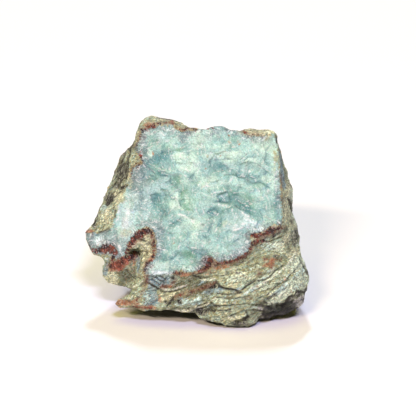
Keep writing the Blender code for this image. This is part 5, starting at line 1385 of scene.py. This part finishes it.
@dataclass(frozen=True)
class MatrixFinish:
    """The altered basalt's colours and patterns.

    Of each pair, the first is for where what it goes by is low, and the second for where it is high.
    Stains, cream and the grain's dark and light go by the olive layer, which also carries painted shade,
    and the grey specks go by how thin the near-black layer of dark rock and painted shade is.
    """

    body: Tint = (206, 208, 153)
    cool: Tint = (185, 206, 176)
    straw: Tint = (236, 238, 196)
    bone: Tint = (233, 249, 219)
    # Olive, for rock and for painted shade on the lower matrix.
    moss: Tint = (110, 115, 83)
    slate: Tint = (142, 173, 180)
    chalk: Tint = (201, 230, 220)
    # Near-black: dark rock, and painted shade along the lower edges and underside.
    soot: Tint = (27, 27, 22)
    grey_speck: Tint = (157, 161, 134)
    rust: Tint = (189, 138, 98)
    light: Tint = (246, 242, 234)
    ochre: Tint = (195, 157, 101)
    haze: Tint = (156, 191, 181)
    crack: Tint = (51, 47, 39)
    behind: Tint = (144, 144, 119)
    roughness: float = 0.8
    bedding: Cloud = Cloud(1.3, 5.0, 28.0, 4.0, 0.3)
    wall_bedding: Cloud = Cloud(1.1, 5.0, 64.0, 4.0, 0.3)
    grain: Cloud = Cloud(1.8, 5.0, 26.0, 2.4, 0.4)
    wall_grain: Cloud = Cloud(1.6, 5.0, 64.0, 2.6, 0.4)
    beds: Edge = Edge(0.44, 0.56)
    bed_dark: Edge = Edge(0.35, 0.65)
    bed_shade: Span = (0.84, 1.12)
    sheets: Cloud = Cloud(0.5, 4.0, 28.0, 2.0, 0.6)
    bluish: Edge = Edge(0.50, 0.64, 0.50)
    yellowish: Edge = Edge(0.46, 0.34, 0.50)
    back: Edge = Edge(0.75, 0.25)
    strokes: Edge = Edge(0.34, 0.66, ragged=2.0)
    ochres: Speckle = Speckle(Cloud(1.7, 5.0, 28.0, 1.8), Edge(0.52, 0.62))
    hazes: Speckle = Speckle(Cloud(1.5, 6.0), Edge(0.50, 0.62))
    stain_shares: Span = (0.60, 0.30)
    grey_specks: Speckle = Speckle(Cloud(1.1, 5.0, 62.0, 2.4, 0.8), Edge(0.47, 0.56))
    thin_dark_and_shade: Edge = Edge(0.98, 0.86)
    grey_speck_shares: Span = (0.15, 1.0)
    dark_and_shade_edge: Edge = Edge(0.20, 0.80, ragged=1.6)
    grained: Edge = Edge(0.36, 0.64)
    grain_dark: Span = (0.54, 0.78)
    grain_light: Span = (1.30, 1.14)
    creamy: Edge = Edge(0.50, 0.68)
    cream_shares: Span = (0.36, 0.18)
    sand: Speckle = Speckle(Cloud(2.6, 4.0), Edge(0.32, 0.68))
    sand_shade: Span = (0.80, 1.22)
    gleam: Edge = Edge(-0.1, 0.25, 0.6, ragged=1.6)
    gleam_patches: Speckle = Speckle(Cloud(0.7), Edge(0.40, 0.56))
    split: Edge = Edge(-0.1, 0.25, 0.9, ragged=1.8)
    split_patches: Speckle = Speckle(Cloud(0.5), Edge(0.32, 0.46))
    hairlines: tuple[Speckle, ...] = (
        Speckle(Cloud(0.55, 4.0, 30.0, 2.0), Edge(0.014, 0.0042, 0.85)),
        Speckle(Cloud(1.1, 4.0, 24.0, 1.6), Edge(0.020, 0.006, 0.85)),
    )
    hairline_patches: Speckle = Speckle(Cloud(0.45, 2.0), Edge(0.42, 0.56))
    pits: Speckle = Speckle(Cloud(1.7, 2.0), Edge(0.58, 0.64, 0.25))
    grits: Speckle = Speckle(Cloud(1.8, 2.0), Edge(0.60, 0.66, 0.2))
    # Lighter on crests, a painted highlight, and darker in hollows: partly dirt, partly painted shade.
    crest: Edge = Edge(0.0, -0.14)
    crest_painted_highlight: Span = (1.0, 1.15)
    sunk: Edge = Edge(0.0, 0.16)
    hollow_painted_shade: Span = (1.0, 0.6)
    # Painted shade along the rim that turns away from the viewer.
    rim_painted_shade: Span = (1.0, 0.86)
    stained: Edge = Edge(-0.7, 0.4, 0.45, ragged=3.0)


class NodeBench:
    """Short ways to add and join shader nodes in one material."""

    NOISE_ROUGHNESS = 0.62
    # The places of the mix node's share and its two colours, and of the colour that it gives.
    MIX_INPUTS = (0, 6, 7)
    MIX_OUTPUT = 2

    def __init__(self, name: str) -> None:
        """Starts an empty material, whose patterns are read in drawn millimetres.

        Args:
            name: the material's name.
        """
        self.material = bpy.data.materials.new(name)
        self.material.use_nodes = True
        self.tree = self.material.node_tree
        self.shader = self.tree.nodes["Principled BSDF"]
        self.place = self.direction("drawn")
        self.bent = self.place

    def join(self, value: Value, socket: Socket) -> None:
        """Links a socket, or sets its constant.

        Args:
            value: an output socket, a number or a colour.
            socket: the input that takes it.
        """
        if isinstance(value, Socket):
            self.tree.links.new(value, socket)
        else:
            socket.default_value = value

    def add(self, kind: str, inputs: dict[str | int, Value], **settings: str) -> bpy.types.ShaderNode:
        """Adds one node.

        Args:
            kind: the node's type, without the words that every shader node's type starts with.
            inputs: what its input sockets take.
            settings: its own settings, such as its operation.

        Returns:
            The node.
        """
        node = self.tree.nodes.new("ShaderNode" + kind)
        for name, setting in settings.items():
            setattr(node, name, setting)
        for place, value in inputs.items():
            self.join(value, node.inputs[place])
        return node

    def layer(self, name: str) -> Socket:
        """The number that the mesh keeps under this name."""
        return self.add("Attribute", {}, attribute_name=name).outputs["Fac"]

    def direction(self, name: str) -> Socket:
        """The vector that the mesh keeps under this name."""
        return self.add("Attribute", {}, attribute_name=name).outputs["Vector"]

    def turned(self, turn: float, stretch: float) -> Socket:
        """Drawn places turned by some degrees and squeezed along their new across.

        Args:
            turn: the turn, in degrees.
            stretch: how many times longer patterns get there.

        Returns:
            The places.
        """
        turned = (0.0, 0.0, math.radians(turn))
        inputs = {"Rotation": turned, "Scale": (stretch, 1.0, 1.0), "Vector": self.place}
        return self.add("Mapping", inputs, vector_type="TEXTURE").outputs["Vector"]

    def cloud(self, cloud: Cloud, place: Socket | None = None) -> Socket:
        """Cloudy noise from 0 to 1.

        Args:
            cloud: its waves.
            place: where it is read, the surface itself if left out.

        Returns:
            The noise's value.
        """
        if cloud.stretch != 1.0:
            place = self.turned(cloud.turn, cloud.stretch)
        return self.add("TexNoise", {
            "Scale": cloud.scale, "Detail": cloud.detail, "Roughness": self.NOISE_ROUGHNESS,
            "Distortion": cloud.bend, "Vector": place or self.place,
        }).outputs["Fac"]

    def vector(self, operation: str, first: Value, second: Value) -> Socket:
        """One sum of two vectors."""
        node = self.add("VectorMath", {0: first, 1: second}, operation=operation)
        return node.outputs["Value" if operation == "DOT_PRODUCT" else "Vector"]

    def shards(self, size: float, slope: float) -> Socket:
        """Small flat breaks, each tilted its own way.

        Args:
            size: their usual width, in millimetres.
            slope: their steepest tilt.

        Returns:
            Their height.
        """
        cell = self.add("TexVoronoi", {"Scale": 1 / size, "Vector": self.bent})
        offset = self.vector("SUBTRACT", self.bent, cell.outputs["Position"])
        tilt = self.vector("SUBTRACT", cell.outputs["Color"], (0.5, 0.5, 0.5))
        return self.times(self.vector("DOT_PRODUCT", offset, tilt), 2 * slope)

    def feathers(self, size: float, stretch: float, streaks: Cloud) -> tuple[Socket, Socket]:
        """Patches of fine streaks, each patch turned its own way.

        Args:
            size: the patches' usual width, in millimetres.
            stretch: how many times longer than wide the streaks are.
            streaks: the streaks' noise.

        Returns:
            One random value for each patch, and the streaks' noise, both from 0 to 1.
        """
        cell = self.add("TexVoronoi", {"Scale": 1 / size, "Vector": self.bent})
        parts = self.add("SeparateColor", {0: cell.outputs["Color"]})
        inputs = {"Vector": self.place, "Angle": self.times(parts.outputs[1], math.pi)}
        turn = self.add("VectorRotate", inputs, rotation_type="Z_AXIS")
        squeezed = self.vector("MULTIPLY", turn.outputs["Vector"], (1 / stretch, 1.0, 1.0))
        return parts.outputs[0], self.cloud(streaks, squeezed)

    def bend_places(self, scale: float, amount: float) -> None:
        """Keeps a copy of the drawn places that is bent by noise.

        Args:
            scale: waves per millimetre.
            amount: how far places move, in millimetres.
        """
        waves = self.add("TexNoise", {"Scale": scale, "Vector": self.place})
        inputs = {0: waves.outputs["Color"], 1: (2 * amount,) * 3, 2: self.place}
        self.bent = self.add("VectorMath", inputs, operation="MULTIPLY_ADD").outputs[0]

    def math(self, operation: str, first: Value, second: Value = 0.0) -> Socket:
        """One sum of two values."""
        return self.add("Math", {0: first, 1: second}, operation=operation).outputs[0]

    def times(self, first: Value, second: Value) -> Socket:
        """Two values multiplied."""
        return self.math("MULTIPLY", first, second)

    def mix(self, share: Value, first: Value, second: Value) -> Socket:
        """A colour between two others."""
        inputs = dict(zip(self.MIX_INPUTS, (share, first, second)))
        return self.add("Mix", inputs, data_type="RGBA").outputs[self.MIX_OUTPUT]

    def blend(self, share: Value, first: Value, second: Value) -> Socket:
        """A number between two others."""
        return self.add("Mix", {0: share, 2: first, 3: second}).outputs[0]

    def wash(self, colour: Value, cover: Value, share: Value, tint: Tint) -> Socket:
        """A colour with a share of a tint laid over it, where the cover says."""
        return self.mix(self.times(cover, share), colour, linear(*tint))

    def shifted(self, value: Value, noise: Value, amount: float) -> Socket:
        """A value moved up or down by noise, at most by half of the amount."""
        shift = self.times(self.math("SUBTRACT", noise, 0.5), amount)
        return self.math("ADD", value, shift)

    def edge(self, value: Value, edge: Edge, noise: Value = 0.5) -> Socket:
        """How much of a value lies past its edge, without the edge's share.

        Args:
            value: the value.
            edge: where it starts and is full, and how far noise moves that.
            noise: what moves it.

        Returns:
            The cover, from 0 to 1, smooth between.
        """
        if edge.ragged:
            value = self.shifted(value, noise, edge.ragged)
        inputs = {"Value": value, "From Min": edge.start, "From Max": edge.full}
        return self.add("MapRange", inputs, interpolation_type="SMOOTHSTEP").outputs["Result"]

    def speckle(self, pattern: Speckle) -> Socket:
        """Where a pattern shows, from 0 to 1, without its share."""
        return self.edge(self.cloud(pattern.cloud), pattern.edge)

    def tint(self, colour: Value, value: Value, low: Value, high: Value) -> Socket:
        """A colour times a factor, which goes from low to high as the value goes from 0 to 1."""
        inputs = {0: colour, "Scale": self.blend(value, low, high)}
        return self.add("VectorMath", inputs, operation="SCALE").outputs[0]


@dataclass(frozen=True)
class StoneFinish:
    """The stone's one material, which reads the layers that are kept on the mesh."""

    larimar: LarimarFinish = LarimarFinish()
    rind: RindFinish = RindFinish()
    matrix: MatrixFinish = MatrixFinish()
    bend_scale: float = 0.6
    bend_amount: float = 0.8
    shard_size: float = 1.1
    shard_slope: float = 0.3
    feather_size: float = 3.4
    feather_stretch: float = 4.0
    streaks: Cloud = Cloud(1.5, 4.0)
    fray: Cloud = Cloud(1.0, 4.0)
    hairs: Cloud = Cloud(1.0)
    face_edge: Edge = Edge(-0.15, 0.15, ragged=2.6)
    hair_fray: float = 4.0
    rind_edge: Edge = Edge(0.36, 0.64, ragged=3.6)
    # Painted shade below the stone and along its outline.
    under_painted_shade: Span = (1.0, 0.13)
    outline_painted_shade: Span = (1.0, 0.35)
    relief: Cloud = Cloud(1.8, 5.0)
    relief_shares: Span = (0.9, 0.25)
    streak_shares: Span = (0.0, 0.25)
    shard_shares: Span = (1.0, 0.0)
    bump_strength: float = 0.9

    def larimar_colour(self, bench: NodeBench, feathers: tuple[Socket, Socket], hairs: Socket) -> Socket:
        """The infill's colour: clouds, strokes, streaks, sugar and flecks, darker in hollows partly as
        painted shade.

        Args:
            bench: the material's bench.
            feathers: the patches' random value and their streaks.
            hairs: noise that runs across the rind.

        Returns:
            The colour.
        """
        look = self.larimar
        patch, streak = feathers
        fine = bench.blend(0.5, bench.cloud(look.grain), streak)
        colour = bench.mix(bench.speckle(look.clouds), linear(*look.body), linear(*look.cool))
        for tone, tint in (
            (Tone.MIST, look.mist), (Tone.SAGE, look.sage), (Tone.DEEP, look.deep),
            (Tone.PALE, look.pale), (Tone.ICE, look.ice), (Tone.CHALK, look.snow),
            (Tone.STRAW, look.straw), (Tone.RUST, look.rust), (Tone.SOOT, look.soot),
        ):
            cover = bench.edge(bench.layer(tone.value), look.strokes, fine)
            colour = bench.mix(cover, colour, linear(*tint))
        colour = bench.wash(colour, bench.speckle(look.veil), look.veil.edge.share, look.mist)
        colour = bench.tint(colour, patch, *look.patch_shade)
        misty = bench.layer(Tone.MIST.value)
        dark, light = bench.blend(misty, *look.sugar_dark), bench.blend(misty, *look.sugar_light)
        colour = bench.tint(colour, bench.speckle(look.sugar), dark, light)
        colour = bench.wash(colour, bench.edge(streak, look.frost), look.frost.share, look.white)
        colour = bench.wash(colour, bench.edge(streak, look.vein), look.vein.share, look.deep)
        flecks = bench.times(bench.speckle(look.flecks), bench.speckle(look.fleck_patches))
        colour = bench.wash(colour, flecks, look.flecks.edge.share, look.white)
        colour = bench.wash(colour, bench.speckle(look.specks), look.specks.edge.share, look.crack)
        gleam = bench.edge(bench.layer("gleam"), look.gleam, fine)
        gleam = bench.times(gleam, bench.speckle(look.gleam_patches))
        colour = bench.wash(colour, gleam, look.gleam.share, look.white)
        crack = bench.edge(bench.layer("crack"), look.split, fine)
        colour = bench.wash(colour, crack, look.split.share, look.crack)
        # Darker in hollows: partly deeper colour, partly painted shade.
        colour = bench.tint(colour, bench.edge(bench.layer("hollow"), look.sunk), *look.hollow_painted_shade)
        belt = bench.edge(bench.layer("rind"), look.belt, fine)
        for pattern, tint in ((look.grit, look.crack), (look.crumbs, look.white)):
            cover = bench.times(belt, bench.speckle(pattern))
            colour = bench.wash(colour, cover, pattern.edge.share, tint)
        near = bench.edge(bench.layer("rind"), look.hair_reach)
        near = bench.times(near, bench.speckle(look.hair_patches))
        for hair, tint in ((look.dark_hair, look.shade), (look.white_hair, look.white)):
            colour = bench.wash(colour, bench.times(near, bench.edge(hairs, hair)), hair.share, tint)
        return colour

    def matrix_colour(self, bench: NodeBench) -> Socket:
        """The altered basalt's colour: beds, strokes, stains, dark rock and painted shade, grain, cracks,
        pits, and painted highlights and shade on crests, in hollows and along the rim.

        Args:
            bench: the material's bench.

        Returns:
            The colour.
        """
        look = self.matrix
        wall = bench.layer("wall")
        bedding = bench.blend(wall, bench.cloud(look.bedding), bench.cloud(look.wall_bedding))
        fine = bench.blend(wall, bench.cloud(look.grain), bench.cloud(look.wall_grain))
        colour = bench.mix(bench.edge(bedding, look.beds), linear(*look.body), linear(*look.cool))
        sheets = bench.cloud(look.sheets)
        for edge, tint in ((look.bluish, look.haze), (look.yellowish, look.straw)):
            colour = bench.wash(colour, bench.edge(sheets, edge), edge.share, tint)
        colour = bench.mix(bench.edge(bench.layer("front"), look.back), colour, linear(*look.behind))
        # Stroke layers; the olive one is partly painted shade.
        for tone, tint in (
            (Tone.MOSS, look.moss), (Tone.STRAW, look.straw), (Tone.BONE, look.bone),
            (Tone.SLATE, look.slate), (Tone.CHALK, look.chalk), (Tone.RUST, look.rust),
        ):
            cover = bench.edge(bench.layer(tone.value), look.strokes, fine)
            colour = bench.mix(cover, colour, linear(*tint))
        calm = bench.layer(Tone.MOSS.value)
        for pattern, tint in ((look.ochres, look.ochre), (look.hazes, look.haze)):
            share = bench.blend(calm, *look.stain_shares)
            colour = bench.wash(colour, bench.speckle(pattern), share, tint)
        # The near-black layer: dark rock, and painted shade along the lower edges and underside, with grey
        # specks where it is thin.
        soot = bench.layer(Tone.SOOT.value)
        thin = bench.edge(soot, look.thin_dark_and_shade)
        grey_specks = bench.times(bench.speckle(look.grey_specks), bench.blend(thin, *look.grey_speck_shares))
        dark_with_specks = bench.mix(grey_specks, linear(*look.soot), linear(*look.grey_speck))
        colour = bench.mix(bench.edge(soot, look.dark_and_shade_edge, fine), colour, dark_with_specks)
        colour = bench.tint(colour, bench.edge(bedding, look.bed_dark), *look.bed_shade)
        dark, light = bench.blend(calm, *look.grain_dark), bench.blend(calm, *look.grain_light)
        colour = bench.tint(colour, bench.edge(fine, look.grained), dark, light)
        share = bench.blend(calm, *look.cream_shares)
        colour = bench.wash(colour, bench.edge(fine, look.creamy), share, look.light)
        colour = bench.tint(colour, bench.speckle(look.sand), *look.sand_shade)
        gleam = bench.edge(bench.layer("gleam"), look.gleam, fine)
        gleam = bench.times(gleam, bench.speckle(look.gleam_patches))
        colour = bench.wash(colour, gleam, look.gleam.share, look.light)
        crack = bench.edge(bench.layer("crack"), look.split, fine)
        crack = bench.times(crack, bench.speckle(look.split_patches))
        colour = bench.wash(colour, crack, look.split.share, look.crack)
        for line in look.hairlines:
            swing = bench.math("ABSOLUTE", bench.math("SUBTRACT", bench.cloud(line.cloud), 0.5))
            cover = bench.times(bench.edge(swing, line.edge), bench.speckle(look.hairline_patches))
            colour = bench.wash(colour, cover, line.edge.share, look.crack)
        for pattern, tint in ((look.pits, look.crack), (look.grits, look.light)):
            colour = bench.wash(colour, bench.speckle(pattern), pattern.edge.share, tint)
        # Painted highlight on crests; darker in hollows, partly dirt and partly painted shade.
        hollow = bench.layer("hollow")
        colour = bench.tint(colour, bench.edge(hollow, look.crest), *look.crest_painted_highlight)
        colour = bench.tint(colour, bench.edge(hollow, look.sunk), *look.hollow_painted_shade)
        # Painted shade along the rim that turns away from the viewer.
        colour = bench.tint(colour, bench.layer("rim"), *look.rim_painted_shade)
        stain = bench.edge(bench.layer("rind"), look.stained, fine)
        return bench.wash(colour, stain, look.stained.share, self.rind.stain)

    def rind_colour(self, bench: NodeBench, hairs: Socket) -> Socket:
        """The rind's colour.

        Args:
            bench: the material's bench.
            hairs: noise that runs across the rind.

        Returns:
            The colour.
        """
        look = self.rind
        colour = bench.mix(bench.speckle(look.patches), linear(*look.dark), linear(*look.bright))
        bricked = bench.edge(bench.layer(Tone.RUST.value), look.bricked, bench.cloud(look.brick_grain))
        bricked = bench.times(bricked, bench.speckle(look.brick_patches))
        colour = bench.wash(colour, bricked, look.bricked.share, look.brick)
        colour = bench.wash(colour, bench.speckle(look.frost), look.frost.edge.share, look.pale)
        return bench.tint(colour, bench.edge(hairs, look.hair), *look.hair_shade)

    def relief_height(self, bench: NodeBench, shards: Socket, streak: Socket, in_face: Socket) -> Socket:
        """The finest relief, in millimetres.

        Args:
            bench: the material's bench.
            shards: the height of the small breaks.
            streak: the infill's streaks.
            in_face: how much of the infill lies here.

        Returns:
            The height.
        """
        grain = bench.times(bench.cloud(self.relief), bench.blend(in_face, *self.relief_shares))
        fibre = bench.times(streak, bench.blend(in_face, *self.streak_shares))
        breaks = bench.times(shards, bench.blend(in_face, *self.shard_shares))
        return bench.math("ADD", grain, bench.math("ADD", fibre, breaks))

    def build(self) -> bpy.types.Material:
        """Joins the three colours, the gloss and the finest relief.

        Returns:
            The finished material.
        """
        bench = NodeBench("larimar_rind_and_basalt")
        bench.bend_places(self.bend_scale, self.bend_amount)
        shards = bench.shards(self.shard_size, self.shard_slope)
        feathers = bench.feathers(self.feather_size, self.feather_stretch, self.streaks)
        fray = bench.cloud(self.fray)
        hairs = bench.cloud(self.hairs, bench.direction("grain"))
        in_face = bench.edge(bench.layer("face"), self.face_edge, fray)
        fringe = bench.shifted(bench.layer("rind"), hairs, self.hair_fray)
        in_rind = bench.edge(fringe, self.rind_edge, fray)
        face_colour = self.larimar_colour(bench, feathers, hairs)
        colour = bench.mix(in_face, self.matrix_colour(bench), face_colour)
        colour = bench.mix(in_rind, colour, self.rind_colour(bench, hairs))
        # Painted shade below the stone and along its outline.
        colour = bench.tint(colour, bench.layer("under"), *self.under_painted_shade)
        colour = bench.tint(colour, bench.layer("outline"), *self.outline_painted_shade)
        bench.join(colour, bench.shader.inputs["Base Color"])
        rough = bench.blend(in_face, self.matrix.roughness, self.larimar.roughness)
        rough = bench.blend(in_rind, rough, self.rind.roughness)
        bench.join(rough, bench.shader.inputs["Roughness"])
        height = self.relief_height(bench, shards, feathers[1], in_face)
        inputs = {"Strength": self.bump_strength, "Distance": MM, "Height": height}
        bench.join(bench.add("Bump", inputs).outputs["Normal"], bench.shader.inputs["Normal"])
        return bench.material


@dataclass
class LarimarStone:
    """The whole stone: its mesh, relief and finish. A span is where a fade starts and where it is full."""

    face: LarimarFace = LarimarFace()
    rind: Rind = Rind()
    matrix: BasaltMatrix = BasaltMatrix()
    painting: Painting = Painting()
    finish: StoneFinish = StoneFinish()
    mesh: StoneMesh = field(default_factory=StoneMesh)
    groove: float = 0.3
    groove_span: Span = (-0.5, 0.2)
    face_span: Span = (-0.4, 0.8)
    front_tilt: float = 14.0
    front_span: Span = (-16.0, -4.0)
    steep_share: float = 0.35
    steep_span: Span = (0.0, 0.5)
    side_calm: float = 0.7
    side_tilt: float = 0.1
    side_span: Span = (0.5, 0.2)
    face_calm: float = 0.8
    hair_width: float = 0.45
    hair_length: float = 2.4
    # Painted shade: where the skin faces down, along the lower edge, on the hanging underside, along the
    # rim that turns away and along the outline.
    down_span: Span = (0.50, 0.95)
    lower_ways: Span = (0.40, 0.15)
    lower_down: Span = (0.15, 0.50)
    lower_across: Span = (-15.0, -11.0)
    lower_share: float = 0.9
    sole_span: Span = (0.3, 0.6)
    rim_span: Span = (0.45, 0.10)
    outline_front: Span = (0.24, 0.04)
    outline_back: Span = (-0.5, -0.2)
    hollow_rounds: int = 4

    def relief(self, skin: Skin, layers: dict[str, np.ndarray]) -> np.ndarray:
        """The height of everything that is raised or cut into the skin.

        Args:
            skin: the surface before the relief.
            layers: the face, rind, crack, gleam and front layers.

        Returns:
            Heights along the skin's ways, in millimetres.
        """
        out = skin.ways[:, 2]
        front = layers["front"]
        in_face = ease(layers["face"], *self.face_span)
        height = in_face * self.face.relief(skin) + self.rind.relief(skin, layers["rind"])
        calm = self.steep_share + (1 - self.steep_share) * ease(out, *self.steep_span)
        edge_on = self.side_calm * ease(np.abs(out + self.side_tilt), *self.side_span)
        height += (1 - in_face) * front * calm * self.matrix.relief(skin)
        height += (1 - in_face) * (1 - front) * (1 - edge_on) * self.matrix.back_relief(skin)
        height += self.matrix.sole(skin)
        raised = ease(layers["gleam"], *self.groove_span) * (1 - self.face_calm * in_face)
        return height + self.groove * (raised - ease(layers["crack"], *self.groove_span))

    def shades(self, skin: Skin) -> dict[str, np.ndarray]:
        """Painted shade: below the stone, along its lower edge and hanging underside, along the rim that
        turns away, and along its outline.

        Args:
            skin: the surface before the relief.

        Returns:
            The shade layers by name, from 0 to 1.
        """
        out = skin.ways[:, 2]
        down = -skin.ways @ PLANE.axes()[:, 2]
        lower_edge = ease(out, *self.lower_ways) * ease(down, *self.lower_down)
        lower_edge *= ease(skin.seen[:, 0], *self.lower_across)
        under = np.maximum(ease(down, *self.down_span), self.lower_share * lower_edge)
        return {
            "under": np.maximum(under, ease(self.matrix.sole(skin), *self.sole_span)),
            "rim": ease(out, *self.rim_span),
            "outline": ease(out, *self.outline_front) * ease(out, *self.outline_back),
        }

    def shape(self, skin: Skin) -> None:
        """Gives the skin its relief, and keeps the layers that the finish reads.

        Args:
            skin: the surface before the relief.
        """
        rind, reach = self.rind.trace(skin)
        layers = {
            "drawn": skin.drawn,
            "face": skin.where_drawn(self.face.edge.depth(skin.seen), FAR_OFF),
            "rind": rind,
            "grain": np.column_stack((reach / self.hair_width, rind / self.hair_length, 0 * rind)),
            "crack": skin.where_drawn(self.painting.cracks.depth(skin.seen), OFF_LINE),
            "gleam": skin.where_drawn(self.painting.gleams.depth(skin.seen), OFF_LINE),
            "front": ease(skin.drawn[:, 2] + self.front_tilt * skin.ways[:, 2], *self.front_span),
            "wall": self.matrix.wall(skin),
        }
        height = self.relief(skin, layers)
        self.mesh.write(skin.drawn + skin.ways * height[:, None])
        layers |= self.shades(skin) | {"hollow": self.mesh.hollows(self.hollow_rounds)}
        for name, values in layers.items():
            self.mesh.store(name, values)

    def build(self, node: bpy.types.Object) -> bpy.types.Object:
        """Makes the fine stone over the plain solid.

        Args:
            node: the plain solid.

        Returns:
            The finished object, which rides on the stone's body and replaces the solid.
        """
        piece = self.mesh.raise_from(node)
        skin = self.mesh.read()
        self.shape(skin)
        self.painting.lay_on(skin, self.mesh)
        self.mesh.mesh.materials.clear()
        self.mesh.mesh.materials.append(self.finish.build())
        self.mesh.mesh.shade_smooth()
        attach(piece, "root")
        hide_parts(NODE)
        return piece


@dataclass(frozen=True)
class SoftLamp:
    """One oblong soft light: its name, place and sides in metres, power in watts and tint."""

    name: str
    place: tuple[float, float, float]
    sides: Span
    power: float
    tint: tuple[float, float, float]


@dataclass(frozen=True)
class Studio:
    """The pale floor, the soft lights and the camera."""

    floor_size: float = 6.0
    floor_tint: tuple[float, float, float, float] = (0.93, 0.92, 0.90, 1.0)
    floor_roughness: float = 0.9
    floor_gloss: float = 0.1
    middle: tuple[float, float, float] = (0.0, 0.0, 0.03)
    lamps: tuple[SoftLamp, ...] = (
        SoftLamp("warm_strip", (-1.00, -1.95, 1.83), (0.9, 0.15), 46.2, (1.0, 0.81, 0.64)),
        SoftLamp("front_strip", (0.33, -1.45, 1.78), (0.5, 0.15), 34.6, (0.68, 0.65, 1.0)),
        SoftLamp("ceiling_panel", (0.0, -0.50, 2.60), (2.2, 1.4), 17.9, (1.0, 0.98, 0.10)),
        SoftLamp("rear_window", (-0.05, 1.00, 1.58), (0.22, 0.18), 16.8, (0.72, 0.78, 1.0)),
    )
    room_tint: tuple[float, float, float, float] = (1.0, 0.92, 0.20, 1.0)
    room_strength: float = 0.05
    frame_width: float = 145.6
    aim: Span = (2.8, 4.2)
    sensor: float = 36.0
    nearest_seen: float = 0.01

    def lay_floor(self) -> None:
        """Lays the plain pale floor."""
        half = self.floor_size / 2
        mesh = bpy.data.meshes.new("floor")
        corners = [(-half, -half, 0), (half, -half, 0), (half, half, 0), (-half, half, 0)]
        mesh.from_pydata(corners, [], [(0, 1, 2, 3)])
        floor = bpy.data.objects.new("floor", mesh)
        bpy.context.scene.collection.objects.link(floor)
        material = bpy.data.materials.new("pale_floor")
        material.use_nodes = True
        shader = material.node_tree.nodes["Principled BSDF"]
        shader.inputs["Base Color"].default_value = self.floor_tint
        shader.inputs["Roughness"].default_value = self.floor_roughness
        shader.inputs["Specular IOR Level"].default_value = self.floor_gloss
        mesh.materials.append(material)

    def place_light(self, lamp: SoftLamp) -> None:
        """Hangs one soft oblong light that looks at the stone.

        Args:
            lamp: the light's place, size and tint.
        """
        light = bpy.data.lights.new(lamp.name, "AREA")
        light.shape = "RECTANGLE"
        light.size, light.size_y = lamp.sides
        light.energy = lamp.power
        light.color = lamp.tint
        hung = bpy.data.objects.new(lamp.name, light)
        bpy.context.scene.collection.objects.link(hung)
        away = Vector(lamp.place) - Vector(self.middle)
        turn = away.to_track_quat("Z", "Y").to_matrix().to_4x4()
        hung.matrix_world = Matrix.Translation(lamp.place) @ turn

    def set_lights(self) -> None:
        """Hangs the lamps and lights the room around them faintly."""
        for lamp in self.lamps:
            self.place_light(lamp)
        world = bpy.data.worlds.new("pale_room")
        world.use_nodes = True
        background = world.node_tree.nodes["Background"]
        background.inputs["Color"].default_value = self.room_tint
        background.inputs["Strength"].default_value = self.room_strength
        bpy.context.scene.world = world
        bpy.context.scene.view_settings.view_transform = "Standard"

    def place_camera(self) -> None:
        """Places the camera so that it looks straight at the drawing plane."""
        data = bpy.data.cameras.new("camera")
        data.sensor_width = self.sensor
        data.lens = self.sensor * PLANE.sight / self.frame_width
        data.clip_start = self.nearest_seen
        camera = bpy.data.objects.new("camera", data)
        bpy.context.scene.collection.objects.link(camera)
        eye = PLANE.to_world(np.array([(*self.aim, PLANE.sight)]))[0]
        turn = Matrix([list(row) for row in PLANE.axes().T]).to_4x4()
        camera.matrix_world = Matrix.Translation(Vector(eye)) @ turn
        bpy.context.scene.camera = camera

    def build(self) -> None:
        """Lays the floor, sets the lights and places the camera."""
        self.lay_floor()
        self.set_lights()
        self.place_camera()


def main() -> None:
    """Builds the stone and its studio, and reports each."""
    logging.basicConfig(level=logging.INFO, format="%(name)s: %(message)s")
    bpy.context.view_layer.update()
    stone = LarimarStone().build(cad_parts[NODE])
    log.info("%s has %d faces", stone.name, len(stone.data.polygons))
    Studio().build()
    log.info("floor, lights and camera are in place")


if __name__ == "__main__":
    main()
